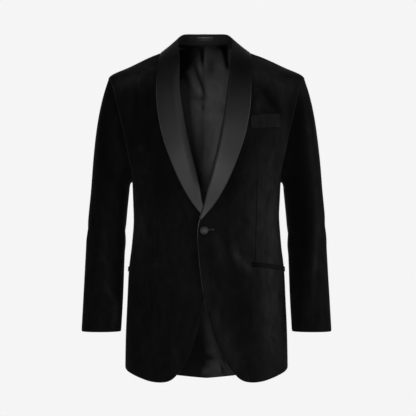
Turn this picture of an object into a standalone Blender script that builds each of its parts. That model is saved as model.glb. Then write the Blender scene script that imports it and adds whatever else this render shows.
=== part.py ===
"""Tuxedo jacket: a hollow velvet jacket with a satin shawl collar, in its cut and sewn pieces.

Metres, +Z up. The front faces -Y and +X is the wearer's left. The origin is midway between the
shoulder tips, inside the hollow, where the wearer's shoulders hold the jacket up.
"""

import math
from collections import namedtuple

import bmesh
import bpy
import numpy as np

# Cloth and sewing
PANEL_WALL = 0.0016
COLLAR_WALL = 0.0015
LINING_WALL = 0.0010
TRIM_WALL = 0.0012
SEAM_GAP = 0.0003
LAY_GAP = 0.0004
LAPEL_GAP = 0.0015
SIDE_SEAM_HALF_ANGLE = 0.0013
SHOULDER_SEAM_HALF_ANGLE = 0.0026

LEFT, RIGHT = 1, -1
SIDE_NAMES = {LEFT: "left", RIGHT: "right"}
QUARTER = math.pi / 2

# Torso: level rings of the outer cloth, from the neck to below the hem
TorsoRing = namedtuple("TorsoRing", "z half_width front_depth back_depth squareness")
TORSO_RINGS = (
    TorsoRing(0.078, 0.0640, 0.045, 0.078, 2.00),
    TorsoRing(0.062, 0.0945, 0.053, 0.086, 2.00),
    TorsoRing(0.050, 0.1260, 0.062, 0.092, 2.00),
    TorsoRing(0.025, 0.1790, 0.080, 0.101, 2.05),
    TorsoRing(0.000, 0.2285, 0.096, 0.108, 2.15),
    TorsoRing(-0.050, 0.2290, 0.116, 0.116, 2.30),
    TorsoRing(-0.120, 0.2150, 0.128, 0.120, 2.40),
    TorsoRing(-0.190, 0.1950, 0.131, 0.116, 2.40),
    TorsoRing(-0.245, 0.1735, 0.126, 0.110, 2.40),
    TorsoRing(-0.320, 0.1712, 0.114, 0.100, 2.40),
    TorsoRing(-0.395, 0.1750, 0.112, 0.104, 2.40),
    TorsoRing(-0.440, 0.1812, 0.115, 0.112, 2.40),
    TorsoRing(-0.520, 0.1850, 0.118, 0.121, 2.40),
    TorsoRing(-0.600, 0.1885, 0.120, 0.126, 2.40),
    TorsoRing(-0.720, 0.1905, 0.121, 0.130, 2.40),
)
NECK_POINT_Z = 0.0745
BACK_NECK_Z = 0.0730
NECK_SHIFT_X = -0.0033
NECK_SHIFT_HEIGHTS = (0.030, 0.070)
FRONT_SEAM_ANGLE = math.radians(74)
BACK_SEAM_ANGLE = math.radians(112)

# Hem: height of the lower edge by angle from the front centre
HemPoint = namedtuple("HemPoint", "degrees z")
HEM = (
    HemPoint(16, -0.6905),
    HemPoint(20, -0.6950),
    HemPoint(27, -0.7015),
    HemPoint(36, -0.7005),
    HemPoint(49, -0.6930),
    HemPoint(66, -0.6830),
    HemPoint(90, -0.6740),
    HemPoint(125, -0.6870),
    HemPoint(180, -0.7090),
)

# Front edges, measured from the buttoned centre line, which sits left of the body's middle
CENTRE_FRONT_X = -0.0064
CENTRE_FRONT_FADE = (-0.020, 0.0745)
EdgePoint = namedtuple("EdgePoint", "from_centre_front z")
CUTAWAY = (
    EdgePoint(0.0800, -0.6930),
    EdgePoint(0.0715, -0.6845),
    EdgePoint(0.0550, -0.6600),
    EdgePoint(0.0375, -0.6300),
    EdgePoint(0.0148, -0.5618),
    EdgePoint(0.0034, -0.5118),
    EdgePoint(-0.0057, -0.4710),
    EdgePoint(-0.0102, -0.4140),
    EdgePoint(-0.0152, -0.3575),
    EdgePoint(-0.0085, -0.3250),
)
ROLL_LINE = (
    EdgePoint(-0.0085, -0.3250),
    EdgePoint(0.0006, -0.3007),
    EdgePoint(0.0130, -0.2468),
    EdgePoint(0.0322, -0.1711),
    EdgePoint(0.0476, -0.0954),
    EdgePoint(0.0582, -0.0150),
    EdgePoint(0.0632, 0.0350),
    EdgePoint(0.0665, 0.0560),
)
RIGHT_HEM_SWING = 0.012
SWING_HEIGHTS = (-0.50, -0.69)
OVERLAP_LIFT = {LEFT: 0.0034, RIGHT: -0.0022}
OVERLAP_REACH = (0.115, 0.035)
OVERLAP_TOP = (-0.15, -0.24)
OVERLAP_FOOT = (-0.70, -0.60)

# Armhole: an oval on the torso, turning from the shoulder tip to the front, below and the back
ARMHOLE_TOP = -0.0010
ARMHOLE_BOTTOM = -0.2450
ARMHOLE_FRONT_SPREAD = math.radians(29)
ARMHOLE_BACK_SPREAD = math.radians(27)
ARMHOLE_POWER = 0.83

# Sleeves: level rings from the armpit to the cuff
SleeveRing = namedtuple("SleeveRing", "z centre_x half_width centre_y half_depth")
SLEEVE_RINGS = (
    SleeveRing(-0.2620, 0.2242, 0.0452, 0.004, 0.070),
    SleeveRing(-0.3200, 0.2300, 0.0450, 0.003, 0.067),
    SleeveRing(-0.3900, 0.2343, 0.0453, -0.002, 0.062),
    SleeveRing(-0.4500, 0.2370, 0.0460, -0.009, 0.058),
    SleeveRing(-0.5200, 0.2400, 0.0467, -0.020, 0.054),
    SleeveRing(-0.5875, 0.2435, 0.0465, -0.031, 0.051),
)
SLEEVE_SQUARENESS = 2.2
CAP_START_OUT = (0.30, 0.60)
CAP_START_FORWARD = 0.35
CAP_START_DOWN = (0.75, 0.60)
CAP_END_OUT = 0.06

# Collar: its section by place, 0 at the lapel's break, 1 at the shoulder, 2 at the back centre
CollarSection = namedtuple("CollarSection", "place stand roll_radius lean_degrees lift")
COLLAR_SECTIONS = (
    CollarSection(0.00, 0.0024, 0.0020, 0, 0.0000),
    CollarSection(0.25, 0.0024, 0.0022, 0, 0.0014),
    CollarSection(0.60, 0.0026, 0.0026, 0, 0.0030),
    CollarSection(0.80, 0.0045, 0.0030, 10, 0.0034),
    CollarSection(0.90, 0.0072, 0.0028, 24, 0.0022),
    CollarSection(1.00, 0.0120, 0.0026, 36, 0.0008),
    CollarSection(1.15, 0.0250, 0.0028, 28, 0.0000),
    CollarSection(1.30, 0.0320, 0.0030, 26, 0.0000),
    CollarSection(1.60, 0.0350, 0.0034, 14, 0.0000),
    CollarSection(2.00, 0.0366, 0.0036, 8, 0.0000),
)
LipPoint = namedtuple("LipPoint", "up out")
LIP_FOOT = LipPoint(0.0021, -0.0020)
LIP_ROLL_IN = LipPoint(0.0024, -0.0006)
LIP_ROLL_TOP = LipPoint(0.0018, 0.0012)
LIP_ROLL_OUT = LipPoint(0.0002, 0.0021)
ROLL_TOP_LIFT_SHARE = 0.7
LapelEdge = namedtuple("LapelEdge", "place from_centre_front z")
LAPEL_EDGE = (
    LapelEdge(0.00, -0.0056, -0.3296),
    LapelEdge(0.16, 0.0302, -0.2850),
    LapelEdge(0.40, 0.0706, -0.2040),
    LapelEdge(0.64, 0.1005, -0.1080),
    LapelEdge(0.78, 0.1085, -0.0385),
    LapelEdge(0.90, 0.1085, 0.0090),
    LapelEdge(1.00, 0.1060, 0.0420),
)
FALL_SHOULDER_PLACE = 1.15
FALL_SHOULDER_Z = 0.0590
FALL_BACK_Z = 0.0580
FALL_BULGE = (0.0024, -0.0012)
FALL_BULGE_PLACES = (0.95, 1.15)
NECK_BLEND = (0.80, 1.0)
STAND_BLEND = (0.0024, 0.0090)
COLLAR_END = 0.0013

# Folds: soft ridges (outward) and troughs (inward) in the cloth
Fold = namedtuple("Fold", "side degrees z half_width half_length slant_degrees height")
BODY_FOLDS = (
    Fold(LEFT, 12, -0.410, 0.022, 0.060, 24, 0.0030),
    Fold(LEFT, 24, -0.385, 0.020, 0.050, 38, -0.0026),
    Fold(RIGHT, 16, -0.405, 0.022, 0.055, 26, -0.0024),
    Fold(LEFT, 52, -0.045, 0.024, 0.045, 35, -0.0034),
    Fold(RIGHT, 52, -0.060, 0.024, 0.050, 30, -0.0026),
    Fold(LEFT, 78, -0.330, 0.022, 0.060, 70, -0.0026),
    Fold(RIGHT, 80, -0.345, 0.022, 0.055, 68, -0.0024),
    Fold(LEFT, 124, -0.150, 0.024, 0.085, -12, 0.0042),
    Fold(RIGHT, 123, -0.165, 0.024, 0.080, -10, 0.0038),
    Fold(LEFT, 150, -0.330, 0.020, 0.070, 78, -0.0030),
    Fold(RIGHT, 146, -0.345, 0.020, 0.065, 75, -0.0028),
    Fold(LEFT, 152, -0.590, 0.030, 0.090, 4, 0.0034),
    Fold(RIGHT, 142, -0.600, 0.030, 0.090, -4, 0.0030),
)
SLEEVE_FOLDS = (
    Fold(LEFT, 58, -0.285, 0.020, 0.120, 3, -0.0044),
    Fold(LEFT, 28, -0.330, 0.020, 0.110, -5, 0.0030),
    Fold(LEFT, 112, -0.370, 0.020, 0.050, 50, -0.0032),
    Fold(LEFT, 245, -0.350, 0.022, 0.060, -40, 0.0036),
    Fold(LEFT, 80, -0.500, 0.022, 0.080, 12, -0.0026),
    Fold(RIGHT, 64, -0.300, 0.020, 0.100, 6, -0.0032),
    Fold(RIGHT, 100, -0.375, 0.020, 0.055, 46, -0.0032),
    Fold(RIGHT, 112, -0.470, 0.020, 0.070, 14, -0.0028),
    Fold(RIGHT, 248, -0.360, 0.022, 0.060, -36, 0.0034),
    Fold(RIGHT, 30, -0.420, 0.022, 0.090, -6, 0.0024),
)
BODY_FOLD_RADIUS = 0.17
SLEEVE_FOLD_RADIUS = 0.055
SLEEVE_FOLD_CUFF = (-0.5875, -0.545)

# Back lining
LINING_HEM_SHARE = 0.30
LINING_LAST_ROW = -1
LINING_FIRST_COLUMN = 1
PLEAT_COLUMN = 0.975
PLEAT_HALF_WIDTH = 0.006
PLEAT_DEPTH = 0.0035
PLEAT_FOOT = (-0.30, -0.20)

# Pockets
WELT_X = (0.1016, 0.1680)
WELT_Z = (-0.1190, -0.0900)
WELT_TILT = 0.0040
JET_START_DEGREES = 31
JET_END_DEGREES = 86
JET_Z = (-0.4320, -0.4450)
JET_HEIGHT = 0.0048
JET_MOUTH = 0.0008

# Button
BUTTON_FROM_CENTRE = 0.0011
BUTTON_Z = -0.3536
ButtonRing = namedtuple("ButtonRing", "radius height")
BUTTON_RINGS = (
    ButtonRing(0.0078, 0.0000),
    ButtonRing(0.0096, 0.0010),
    ButtonRing(0.0099, 0.0024),
    ButtonRing(0.0086, 0.0038),
    ButtonRing(0.0050, 0.0048),
)
BUTTON_HEIGHT = 0.0051
BUTTON_SIDES = 20

# Neck label
LABEL_HALF_WIDTH = 0.020
LABEL_ON_STAND = (0.58, 0.84)
LABEL_WALL = 0.0006

# Mesh density, in cells
ROLL_CELLS = 15
CUTAWAY_CELLS = 11
SEAM_CELLS = 17
ARMHOLE_FRONT_CELLS = 9
ARMHOLE_UNDER_CELLS = 5
ARMHOLE_BACK_CELLS = 9
FRONT_CELLS = 10
SIDE_CELLS = 5
NECK_CELLS = 6
BACK_CELLS = 9
CAP_CELLS = 6
SLEEVE_CELLS = 12
COLLAR_NECK_CELLS = 8
FALL_CELLS = 6
WELT_CELLS = (5, 2)
JET_CELLS = 11
LABEL_CELLS = 6
SLEEVE_FRONT_SEAM = 9
SLEEVE_BACK_SEAM = 18

# Small steps for finding directions, and samples along a curve
ANGLE_STEP = 0.007
HEIGHT_STEP = 0.0004
TURN_STEP = 0.02
PLACE_STEP = 0.004
CURVE_SAMPLES = 400

Finish = namedtuple("Finish", "colour roughness")
FINISHES = {
    "velvet": Finish((0.010, 0.010, 0.011), 0.90),
    "satin": Finish((0.022, 0.022, 0.024), 0.34),
    "lining": Finish((0.016, 0.016, 0.018), 0.45),
    "label": Finish((0.080, 0.080, 0.082), 0.60),
}


def signed_power(base, exponent):
    """Power that keeps the sign of its base."""
    return np.sign(base) * np.abs(base) ** exponent


def smooth_step(value, start, end):
    """0 at start, 1 at end, eased between, in either direction."""
    t = np.clip((np.asarray(value, float) - start) / (end - start), 0.0, 1.0)
    return t * t * (3.0 - 2.0 * t)


def monotone_curve(knots, values, at):
    """Smooth curve through a table that never overshoots its rows, straight beyond its ends."""
    order = np.argsort(knots)
    knots = np.asarray(knots, float)[order]
    values = np.asarray(values, float)[order]
    steps = np.diff(knots)
    slopes = np.diff(values) / steps
    tangents = np.zeros_like(values)
    tangents[0], tangents[-1] = slopes[0], slopes[-1]
    for i in range(1, len(values) - 1):
        if slopes[i - 1] * slopes[i] > 0:
            before = 2 * steps[i] + steps[i - 1]
            after = steps[i] + 2 * steps[i - 1]
            tangents[i] = (before + after) / (before / slopes[i - 1] + after / slopes[i])
    at = np.asarray(at, float)
    inside = np.clip(at, knots[0], knots[-1])
    cell = np.clip(np.searchsorted(knots, inside) - 1, 0, len(steps) - 1)
    t = (inside - knots[cell]) / steps[cell]
    curve = (
        values[cell] * (1 + 2 * t) * (1 - t) ** 2
        + tangents[cell] * steps[cell] * t * (1 - t) ** 2
        + values[cell + 1] * t * t * (3 - 2 * t)
        + tangents[cell + 1] * steps[cell] * t * t * (t - 1)
    )
    end_slope = np.where(at < knots[0], tangents[0], tangents[-1])
    return curve + (at - inside) * end_slope


def along_curve(points, fractions):
    """Points at fractions of the length of a smooth curve through the given points."""
    points = np.asarray(points, float)
    knots = np.concatenate([[0.0], np.cumsum(np.linalg.norm(np.diff(points, axis=0), axis=1))])
    fine = np.linspace(0.0, knots[-1], CURVE_SAMPLES)
    dense = np.stack([monotone_curve(knots, column, fine) for column in points.T], -1)
    length = np.concatenate([[0.0], np.cumsum(np.linalg.norm(np.diff(dense, axis=0), axis=1))])
    target = np.asarray(fractions, float) * length[-1]
    return np.stack([np.interp(target, length, column) for column in dense.T], -1)


def unit(vectors):
    """Vectors of length one."""
    return vectors / np.linalg.norm(vectors, axis=-1, keepdims=True)


def column_of(rows, name):
    """One named column of a table."""
    return [getattr(row, name) for row in rows]


def ring_values(rows, names, z):
    """Named columns of a ring table at given heights."""
    heights = column_of(rows, "z")
    return [monotone_curve(heights, column_of(rows, name), z) for name in names]


def torso_centre_x(z):
    """Sideways place of the torso's middle, which shifts a little toward the neck."""
    return NECK_SHIFT_X * smooth_step(z, *NECK_SHIFT_HEIGHTS)


def torso_ring_point(side, angle, z):
    """Point of the plain torso: angle 0 at the front centre, a quarter at the side, half behind."""
    names = ("half_width", "front_depth", "back_depth", "squareness")
    half_width, front, back, squareness = ring_values(TORSO_RINGS, names, z)
    power = 2.0 / squareness
    depth = np.where(np.cos(angle) > 0, front, back)
    x = torso_centre_x(z) + side * half_width * signed_power(np.sin(angle), power)
    y = -depth * signed_power(np.cos(angle), power)
    return np.stack([x, y, z + np.zeros_like(x)], -1)


def torso_normal(side, angle, z):
    """Outward direction of the plain torso."""
    across = torso_ring_point(side, angle + ANGLE_STEP, z) - torso_ring_point(side, angle - ANGLE_STEP, z)
    up = torso_ring_point(side, angle, z + HEIGHT_STEP) - torso_ring_point(side, angle, z - HEIGHT_STEP)
    return unit(side * np.cross(across, up))


def away_from_middle(points):
    """Level outward directions from the neck's upright middle line."""
    level = points * np.array([1.0, 1.0, 0.0])
    level[..., 0] -= NECK_SHIFT_X
    return unit(level)


def fold_height(folds, side, angle, z, radius):
    """Sum of the soft ridges and troughs of one side at given angles and heights."""
    total = np.zeros(np.broadcast(angle, z).shape)
    for fold in folds:
        if fold.side != side:
            continue
        turned = np.asarray(angle) - math.radians(fold.degrees)
        around = radius * np.arctan2(np.sin(turned), np.cos(turned))
        above = z - fold.z
        slant = math.radians(fold.slant_degrees)
        across = around * math.cos(slant) - above * math.sin(slant)
        along = around * math.sin(slant) + above * math.cos(slant)
        total += fold.height * np.exp(-((across / fold.half_width) ** 2) - (along / fold.half_length) ** 2)
    return total


def overlap_lift(side, angle, z):
    """How far one front is moved out or in where the left front lies over the right."""
    local_x = side * torso_ring_point(side, angle, z)[..., 0]
    near_front = smooth_step(local_x, *OVERLAP_REACH) * (np.cos(angle) > 0)
    level = smooth_step(z, *OVERLAP_TOP) * smooth_step(z, *OVERLAP_FOOT)
    return OVERLAP_LIFT[side] * near_front * level


def torso_surface(side, angle, z, out=0.0):
    """Point of the draped torso cloth, moved out by a distance along its normal."""
    lift = fold_height(BODY_FOLDS, side, angle, z, BODY_FOLD_RADIUS) + overlap_lift(side, angle, z)
    offset = np.asarray(out + lift)[..., None]
    return torso_ring_point(side, angle, z) + offset * torso_normal(side, angle, z)


def angle_at(local_x, z, behind=False):
    """Angle at which a ring passes a distance from the middle, in front or behind."""
    half_width, squareness = ring_values(TORSO_RINGS, ("half_width", "squareness"), z)
    ratio = np.clip(local_x / half_width, -1.0, 1.0)
    angle = np.arcsin(signed_power(ratio, squareness / 2.0))
    return math.pi - angle if behind else angle


def front_local_x(side, from_centre_front, z):
    """Distance from the body's middle toward the wearer's side, of a point of the front."""
    shift = side * CENTRE_FRONT_X * (1.0 - smooth_step(z, *CENTRE_FRONT_FADE))
    swing = RIGHT_HEM_SWING * smooth_step(z, *SWING_HEIGHTS) * (side == RIGHT)
    return from_centre_front + shift - swing


def hem_height(angle):
    """Height of the hem at an angle."""
    return monotone_curve(column_of(HEM, "degrees"), column_of(HEM, "z"), np.degrees(angle))


def edge_in_domain(side, rows, fractions):
    """(angle, z) at fractions along a front edge given by a table."""
    z = np.asarray(column_of(rows, "z"))
    local_x = front_local_x(side, np.asarray(column_of(rows, "from_centre_front")), z)
    points = along_curve(np.stack([local_x, z], -1), fractions)
    return np.stack([angle_at(points[:, 0], points[:, 1]), points[:, 1]], -1)


def roll_line(side, fractions):
    """(angle, z) along the lapel's roll, from the break to the neck point on the shoulder."""
    neck_half_width = float(ring_values(TORSO_RINGS, ("half_width",), NECK_POINT_Z)[0])
    rows = ROLL_LINE + (EdgePoint(neck_half_width, NECK_POINT_Z),)
    return edge_in_domain(side, rows, fractions)


def armhole(turn):
    """(angle, z) on the armhole's edge."""
    middle = (ARMHOLE_TOP + ARMHOLE_BOTTOM) / 2
    half = (ARMHOLE_TOP - ARMHOLE_BOTTOM) / 2
    spread = np.where(np.sin(turn) > 0, ARMHOLE_FRONT_SPREAD, ARMHOLE_BACK_SPREAD)
    angle = QUARTER - spread * signed_power(np.sin(turn), ARMHOLE_POWER)
    z = middle + half * signed_power(np.cos(turn), ARMHOLE_POWER)
    return np.stack([angle, z], -1)


def armhole_turns():
    """Turns of the armhole's points, with one at each seam of the body."""
    power = 1.0 / ARMHOLE_POWER
    front = math.pi - math.asin(((QUARTER - FRONT_SEAM_ANGLE) / ARMHOLE_FRONT_SPREAD) ** power)
    back = math.pi + math.asin(((BACK_SEAM_ANGLE - QUARTER) / ARMHOLE_BACK_SPREAD) ** power)
    return np.concatenate([
        np.linspace(0.0, front, ARMHOLE_FRONT_CELLS + 1),
        np.linspace(front, back, ARMHOLE_UNDER_CELLS + 1)[1:],
        np.linspace(back, 2 * math.pi, ARMHOLE_BACK_CELLS + 1)[1:],
    ])


def seam_line(angle, top_z):
    """(angle, z) up a side seam from the hem to the armhole."""
    z = np.linspace(float(hem_height(angle)), top_z, SEAM_CELLS + 1)
    return np.stack([np.full_like(z, angle), z], -1)


def hem_line(start, end, cells):
    """(angle, z) along the hem."""
    angle = np.linspace(start, end, cells + 1)
    return np.stack([angle, hem_height(angle)], -1)


def patch(bottom, top, left, right, columns=None):
    """Grid that fills four edges: bottom and top run left to right, left and right run up."""
    u = np.linspace(0.0, 1.0, len(bottom)) if columns is None else columns
    u = u[None, :, None]
    v = np.linspace(0.0, 1.0, len(left))[:, None, None]
    corners = (1 - v) * ((1 - u) * bottom[0] + u * bottom[-1]) + v * ((1 - u) * top[0] + u * top[-1])
    across = (1 - u) * left[:, None] + u * right[:, None]
    return (1 - v) * bottom[None] + v * top[None] + across - corners


def front_domain(side):
    """(angle, z) grid of a front, from its front edge to the side seam and armhole."""
    cutaway = edge_in_domain(side, CUTAWAY, np.linspace(0.0, 1.0, CUTAWAY_CELLS + 1))
    left = np.concatenate([cutaway, roll_line(side, np.linspace(0.0, 1.0, ROLL_CELLS + 1))[1:]])
    hole = armhole(armhole_turns()[: ARMHOLE_FRONT_CELLS + 1])[::-1]
    right = np.concatenate([seam_line(FRONT_SEAM_ANGLE, hole[0, 1]), hole[1:]])
    right[:, 0] -= SIDE_SEAM_HALF_ANGLE
    left[-1, 0] -= SHOULDER_SEAM_HALF_ANGLE
    top = left[-1] + (right[-1] - left[-1]) * np.linspace(0.0, 1.0, FRONT_CELLS + 1)[:, None]
    bottom = hem_line(left[0, 0], right[0, 0], FRONT_CELLS)
    bottom[0] = left[0]
    return patch(bottom, top, left, right)


def side_domain():
    """(angle, z) grid of a side body, under the arm."""
    first, last = ARMHOLE_FRONT_CELLS, ARMHOLE_FRONT_CELLS + ARMHOLE_UNDER_CELLS
    top = armhole(armhole_turns()[first : last + 1])
    left = seam_line(FRONT_SEAM_ANGLE, top[0, 1])
    right = seam_line(BACK_SEAM_ANGLE, top[-1, 1])
    left[:, 0] += SIDE_SEAM_HALF_ANGLE
    right[:, 0] -= SIDE_SEAM_HALF_ANGLE
    top[0], top[-1] = left[-1], right[-1]
    bottom = hem_line(left[0, 0], right[0, 0], SIDE_CELLS)
    return patch(bottom, top, left, right)


def back_domain():
    """(angle, z) grid of a back half, from the side seam and armhole to the back centre and neck."""
    hole = armhole(armhole_turns()[ARMHOLE_FRONT_CELLS + ARMHOLE_UNDER_CELLS :])
    left = np.concatenate([seam_line(BACK_SEAM_ANGLE, hole[0, 1]), hole[1:]])
    left[:, 0] += SIDE_SEAM_HALF_ANGLE
    centre_z = np.linspace(float(hem_height(math.pi)), BACK_NECK_Z, len(left) - NECK_CELLS)
    centre = np.stack([angle_at(SEAM_GAP / 2, centre_z, behind=True), centre_z], -1)
    right = np.concatenate([centre, neck_line(np.linspace(1.0, 0.0, NECK_CELLS + 1))[1:]])
    right[-1, 0] += SHOULDER_SEAM_HALF_ANGLE
    columns = np.append(np.linspace(0.0, 1.0, BACK_CELLS + 1)[:-1], [PLEAT_COLUMN, 1.0])
    top = left[-1] + (right[-1] - left[-1]) * columns[:, None]
    bottom_angle = left[0, 0] + (right[0, 0] - left[0, 0]) * columns
    bottom = np.stack([bottom_angle, hem_height(bottom_angle)], -1)
    return patch(bottom, top, left, right, columns)


def neck_line(fractions):
    """(angle, z) round the back of the neck, from the shoulder to the back centre."""
    fractions = np.asarray(fractions, float)
    angle = QUARTER + QUARTER * fractions
    z = NECK_POINT_Z + (BACK_NECK_Z - NECK_POINT_Z) * smooth_step(fractions, 0.0, 1.0)
    return np.stack([angle, z], -1)


def lining_domain():
    """(angle, z) grid of half the back lining: the back's own points, short of its seams and hem."""
    grid = back_domain()[:LINING_LAST_ROW, LINING_FIRST_COLUMN:]
    grid[0] += LINING_HEM_SHARE * (grid[1] - grid[0])
    return grid


def lining_pleat(side, grid):
    """How far the lining's centre pleat stands inward."""
    x = torso_ring_point(side, grid[..., 0], grid[..., 1])[..., 0] - torso_centre_x(grid[..., 1])
    level = smooth_step(grid[..., 1], *PLEAT_FOOT)
    return PLEAT_DEPTH * level * np.exp(-((x / PLEAT_HALF_WIDTH) ** 2))


def armhole_edge(side, turns):
    """Points where a sleeve starts, a seam gap inside the armhole, and the way into the hole there."""

    def edge(at):
        place = armhole(at)
        return torso_surface(side, place[:, 0], place[:, 1])

    place = armhole(turns)
    run = unit(edge(turns + TURN_STEP) - edge(turns - TURN_STEP))
    normal = torso_normal(side, place[:, 0], place[:, 1])
    into_hole = unit(side * np.cross(normal, run))
    return edge(turns) + SEAM_GAP * into_hole, into_hole


def sleeve_ring_point(side, turn, z):
    """Point of the plain sleeve below the armpit: turn 0 outward, a quarter in front."""
    names = ("centre_x", "half_width", "centre_y", "half_depth")
    centre_x, half_width, centre_y, half_depth = ring_values(SLEEVE_RINGS, names, z)
    power = 2.0 / SLEEVE_SQUARENESS
    x = side * (centre_x + half_width * signed_power(np.cos(turn), power))
    y = centre_y - half_depth * signed_power(np.sin(turn), power)
    return np.stack([x, y, z + np.zeros_like(x)], -1)


def sleeve_cap_point(side, turns, fraction):
    """Points of the sleeve head, from the armhole (0) to the first level ring (1)."""
    start = armhole_edge(side, turns)[0]
    end = sleeve_ring_point(side, turns, np.full_like(turns, SLEEVE_RINGS[0].z))
    reach = np.linalg.norm(end - start, axis=-1, keepdims=True)
    forward = np.sin(turns)
    lower = forward**2 + (np.cos(turns) < 0) * (1.0 - forward**2)
    start_run = reach * np.stack([
        side * (CAP_START_OUT[0] + CAP_START_OUT[1] * lower),
        -CAP_START_FORWARD * forward,
        -CAP_START_DOWN[0] + CAP_START_DOWN[1] * lower,
    ], -1)
    end_run = reach * np.array([side * CAP_END_OUT, 0.0, -1.0])
    t = fraction
    return (
        start * (1 + 2 * t) * (1 - t) ** 2
        + start_run * t * (1 - t) ** 2
        + end * t * t * (3 - 2 * t)
        + end_run * t * t * (t - 1)
    )


def sleeve_grids(side, turns):
    """Outer and inner grids of a sleeve between two of its turns, from the armhole to the cuff."""
    fractions = np.linspace(0.0, 1.0, CAP_CELLS + 1)
    heights = np.linspace(SLEEVE_RINGS[0].z, SLEEVE_RINGS[-1].z, SLEEVE_CELLS + 1)[1:]

    def plain(at):
        cap = [sleeve_cap_point(side, at, fraction) for fraction in fractions]
        tube = [sleeve_ring_point(side, at, np.full_like(at, height)) for height in heights]
        return np.stack(cap + tube)

    points = plain(turns)
    around = plain(turns + TURN_STEP) - plain(turns - TURN_STEP)
    down = np.gradient(points, axis=0)
    normal = unit(side * np.cross(around, down))
    z = points[..., 2]
    level = smooth_step(z, *SLEEVE_FOLD_CUFF) * smooth_step(np.arange(len(z)), 0, CAP_CELLS)[:, None]
    folds = fold_height(SLEEVE_FOLDS, side, turns[None, :] + 0 * z, z, SLEEVE_FOLD_RADIUS)
    outer = points + (folds * level)[..., None] * normal
    into_hole = armhole_edge(side, turns)[1]
    backward = np.maximum((normal[0] * into_hole).sum(-1, keepdims=True), 0.0)
    normal[0] = unit(normal[0] - backward * into_hole)
    return outer, outer - PANEL_WALL * normal


def collar_seam(side, places):
    """(angle, z) of the edge that the collar is sewn to."""
    places = np.asarray(places, float)
    rolled = roll_line(side, np.clip(places, 0.0, 1.0))
    necked = neck_line(np.clip(places - 1.0, 0.0, 1.0))
    return np.where((places > 1.0)[:, None], necked, rolled)


def collar_edge(side, places):
    """(angle, z) of the collar's free outer edge."""
    knots = column_of(LAPEL_EDGE, "place")
    on_lapel = np.minimum(places, 1.0)
    lapel_z = monotone_curve(knots, column_of(LAPEL_EDGE, "z"), on_lapel)
    from_centre = monotone_curve(knots, column_of(LAPEL_EDGE, "from_centre_front"), on_lapel)
    lapel_angle = angle_at(front_local_x(side, from_centre, lapel_z), lapel_z)
    start_z = np.array([LAPEL_EDGE[-1].z])
    start = angle_at(front_local_x(side, LAPEL_EDGE[-1].from_centre_front, start_z), start_z)
    neck_knots = (1.0, FALL_SHOULDER_PLACE, 2.0)
    neck_angle = monotone_curve(neck_knots, (start[0], QUARTER, math.pi), places)
    neck_z = monotone_curve(neck_knots, (start_z[0], FALL_SHOULDER_Z, FALL_BACK_Z), places)
    on_neck = places > 1.0
    return np.stack([np.where(on_neck, neck_angle, lapel_angle), np.where(on_neck, neck_z, lapel_z)], -1)


def collar_frame(side, places):
    """Seam points, the ways up the stand and outward there, and the height at which the stand starts."""
    seam = collar_seam(side, places)
    ahead = collar_seam(side, np.minimum(places + PLACE_STEP, 2.0))
    behind = collar_seam(side, np.maximum(places - PLACE_STEP, 0.0))
    run = unit(torso_ring_point(side, *ahead.T) - torso_ring_point(side, *behind.T))
    points = torso_surface(side, seam[:, 0], seam[:, 1])
    neckness = smooth_step(places, *NECK_BLEND)[:, None]
    outward = unit((1 - neckness) * torso_normal(side, *seam.T) + neckness * away_from_middle(points))
    upward = unit(side * np.cross(outward, run))
    lean = np.radians(monotone_curve(
        column_of(COLLAR_SECTIONS, "place"), column_of(COLLAR_SECTIONS, "lean_degrees"), places
    ))[:, None]
    stand_up = upward * np.cos(lean) - outward * np.sin(lean)
    stand_out = outward * np.cos(lean) + upward * np.sin(lean)
    foot_rise = (SEAM_GAP + COLLAR_WALL * np.sin(lean[:, 0])) / np.cos(lean[:, 0])
    return points, stand_up, stand_out, foot_rise


def collar_grid(side, places):
    """Outer face of the collar, a row for each place, from the stand's edge over the roll to the fall."""
    places = np.asarray(places, float)
    points, up, out, foot_rise = collar_frame(side, places)
    known = column_of(COLLAR_SECTIONS, "place")
    stand, radius, lift = [
        monotone_curve(known, column_of(COLLAR_SECTIONS, name), places)
        for name in ("stand", "roll_radius", "lift")
    ]
    standing = smooth_step(stand, *STAND_BLEND)

    def at(lip, lip_lift, neck_up, neck_out):
        along = (1 - standing) * lip.up + standing * neck_up
        across = (1 - standing) * (lip.out + lip_lift) + standing * neck_out
        return points + along[:, None] * up + across[:, None] * out

    inside = -COLLAR_WALL
    foot = at(LIP_FOOT, 0.0, foot_rise, inside)
    roll_in = at(LIP_ROLL_IN, 0.0, stand - radius, inside)
    roll_top = at(LIP_ROLL_TOP, ROLL_TOP_LIFT_SHARE * lift, stand, inside + radius)
    roll_out = at(LIP_ROLL_OUT, lift, stand - radius, inside + 2 * radius)
    section = [foot, (foot + roll_in) / 2, roll_in, roll_top, roll_out]
    seam, edge = collar_seam(side, places), collar_edge(side, places)
    rest = LAPEL_GAP + COLLAR_WALL
    edge_point = torso_surface(side, edge[:, 0], edge[:, 1], rest)
    neckness = smooth_step(places, *NECK_BLEND)[:, None]
    behind = smooth_step(places, *FALL_BULGE_PLACES)[:, None]
    bulge = out * (FALL_BULGE[0] * (1 - behind) + FALL_BULGE[1] * behind)
    for i in range(1, FALL_CELLS + 1):
        s = i / FALL_CELLS
        place = seam + (edge - seam) * s
        lying = torso_surface(side, place[:, 0], place[:, 1], rest + lift * (1 - s) ** 2)
        hanging = roll_out + (edge_point - roll_out) * s + bulge * 4 * s * (1 - s)
        section.append((1 - neckness) * lying + neckness * hanging)
    return np.stack(section, 1)


def grid_normal(grid, side):
    """Outward direction at each point of a collar grid, level with the middle at the back centre."""
    along = np.gradient(grid, axis=0)
    across = np.gradient(grid, axis=1)
    normal = side * np.cross(across, along)
    normal[-1, :, 0] = 0.0
    return unit(normal)


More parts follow.
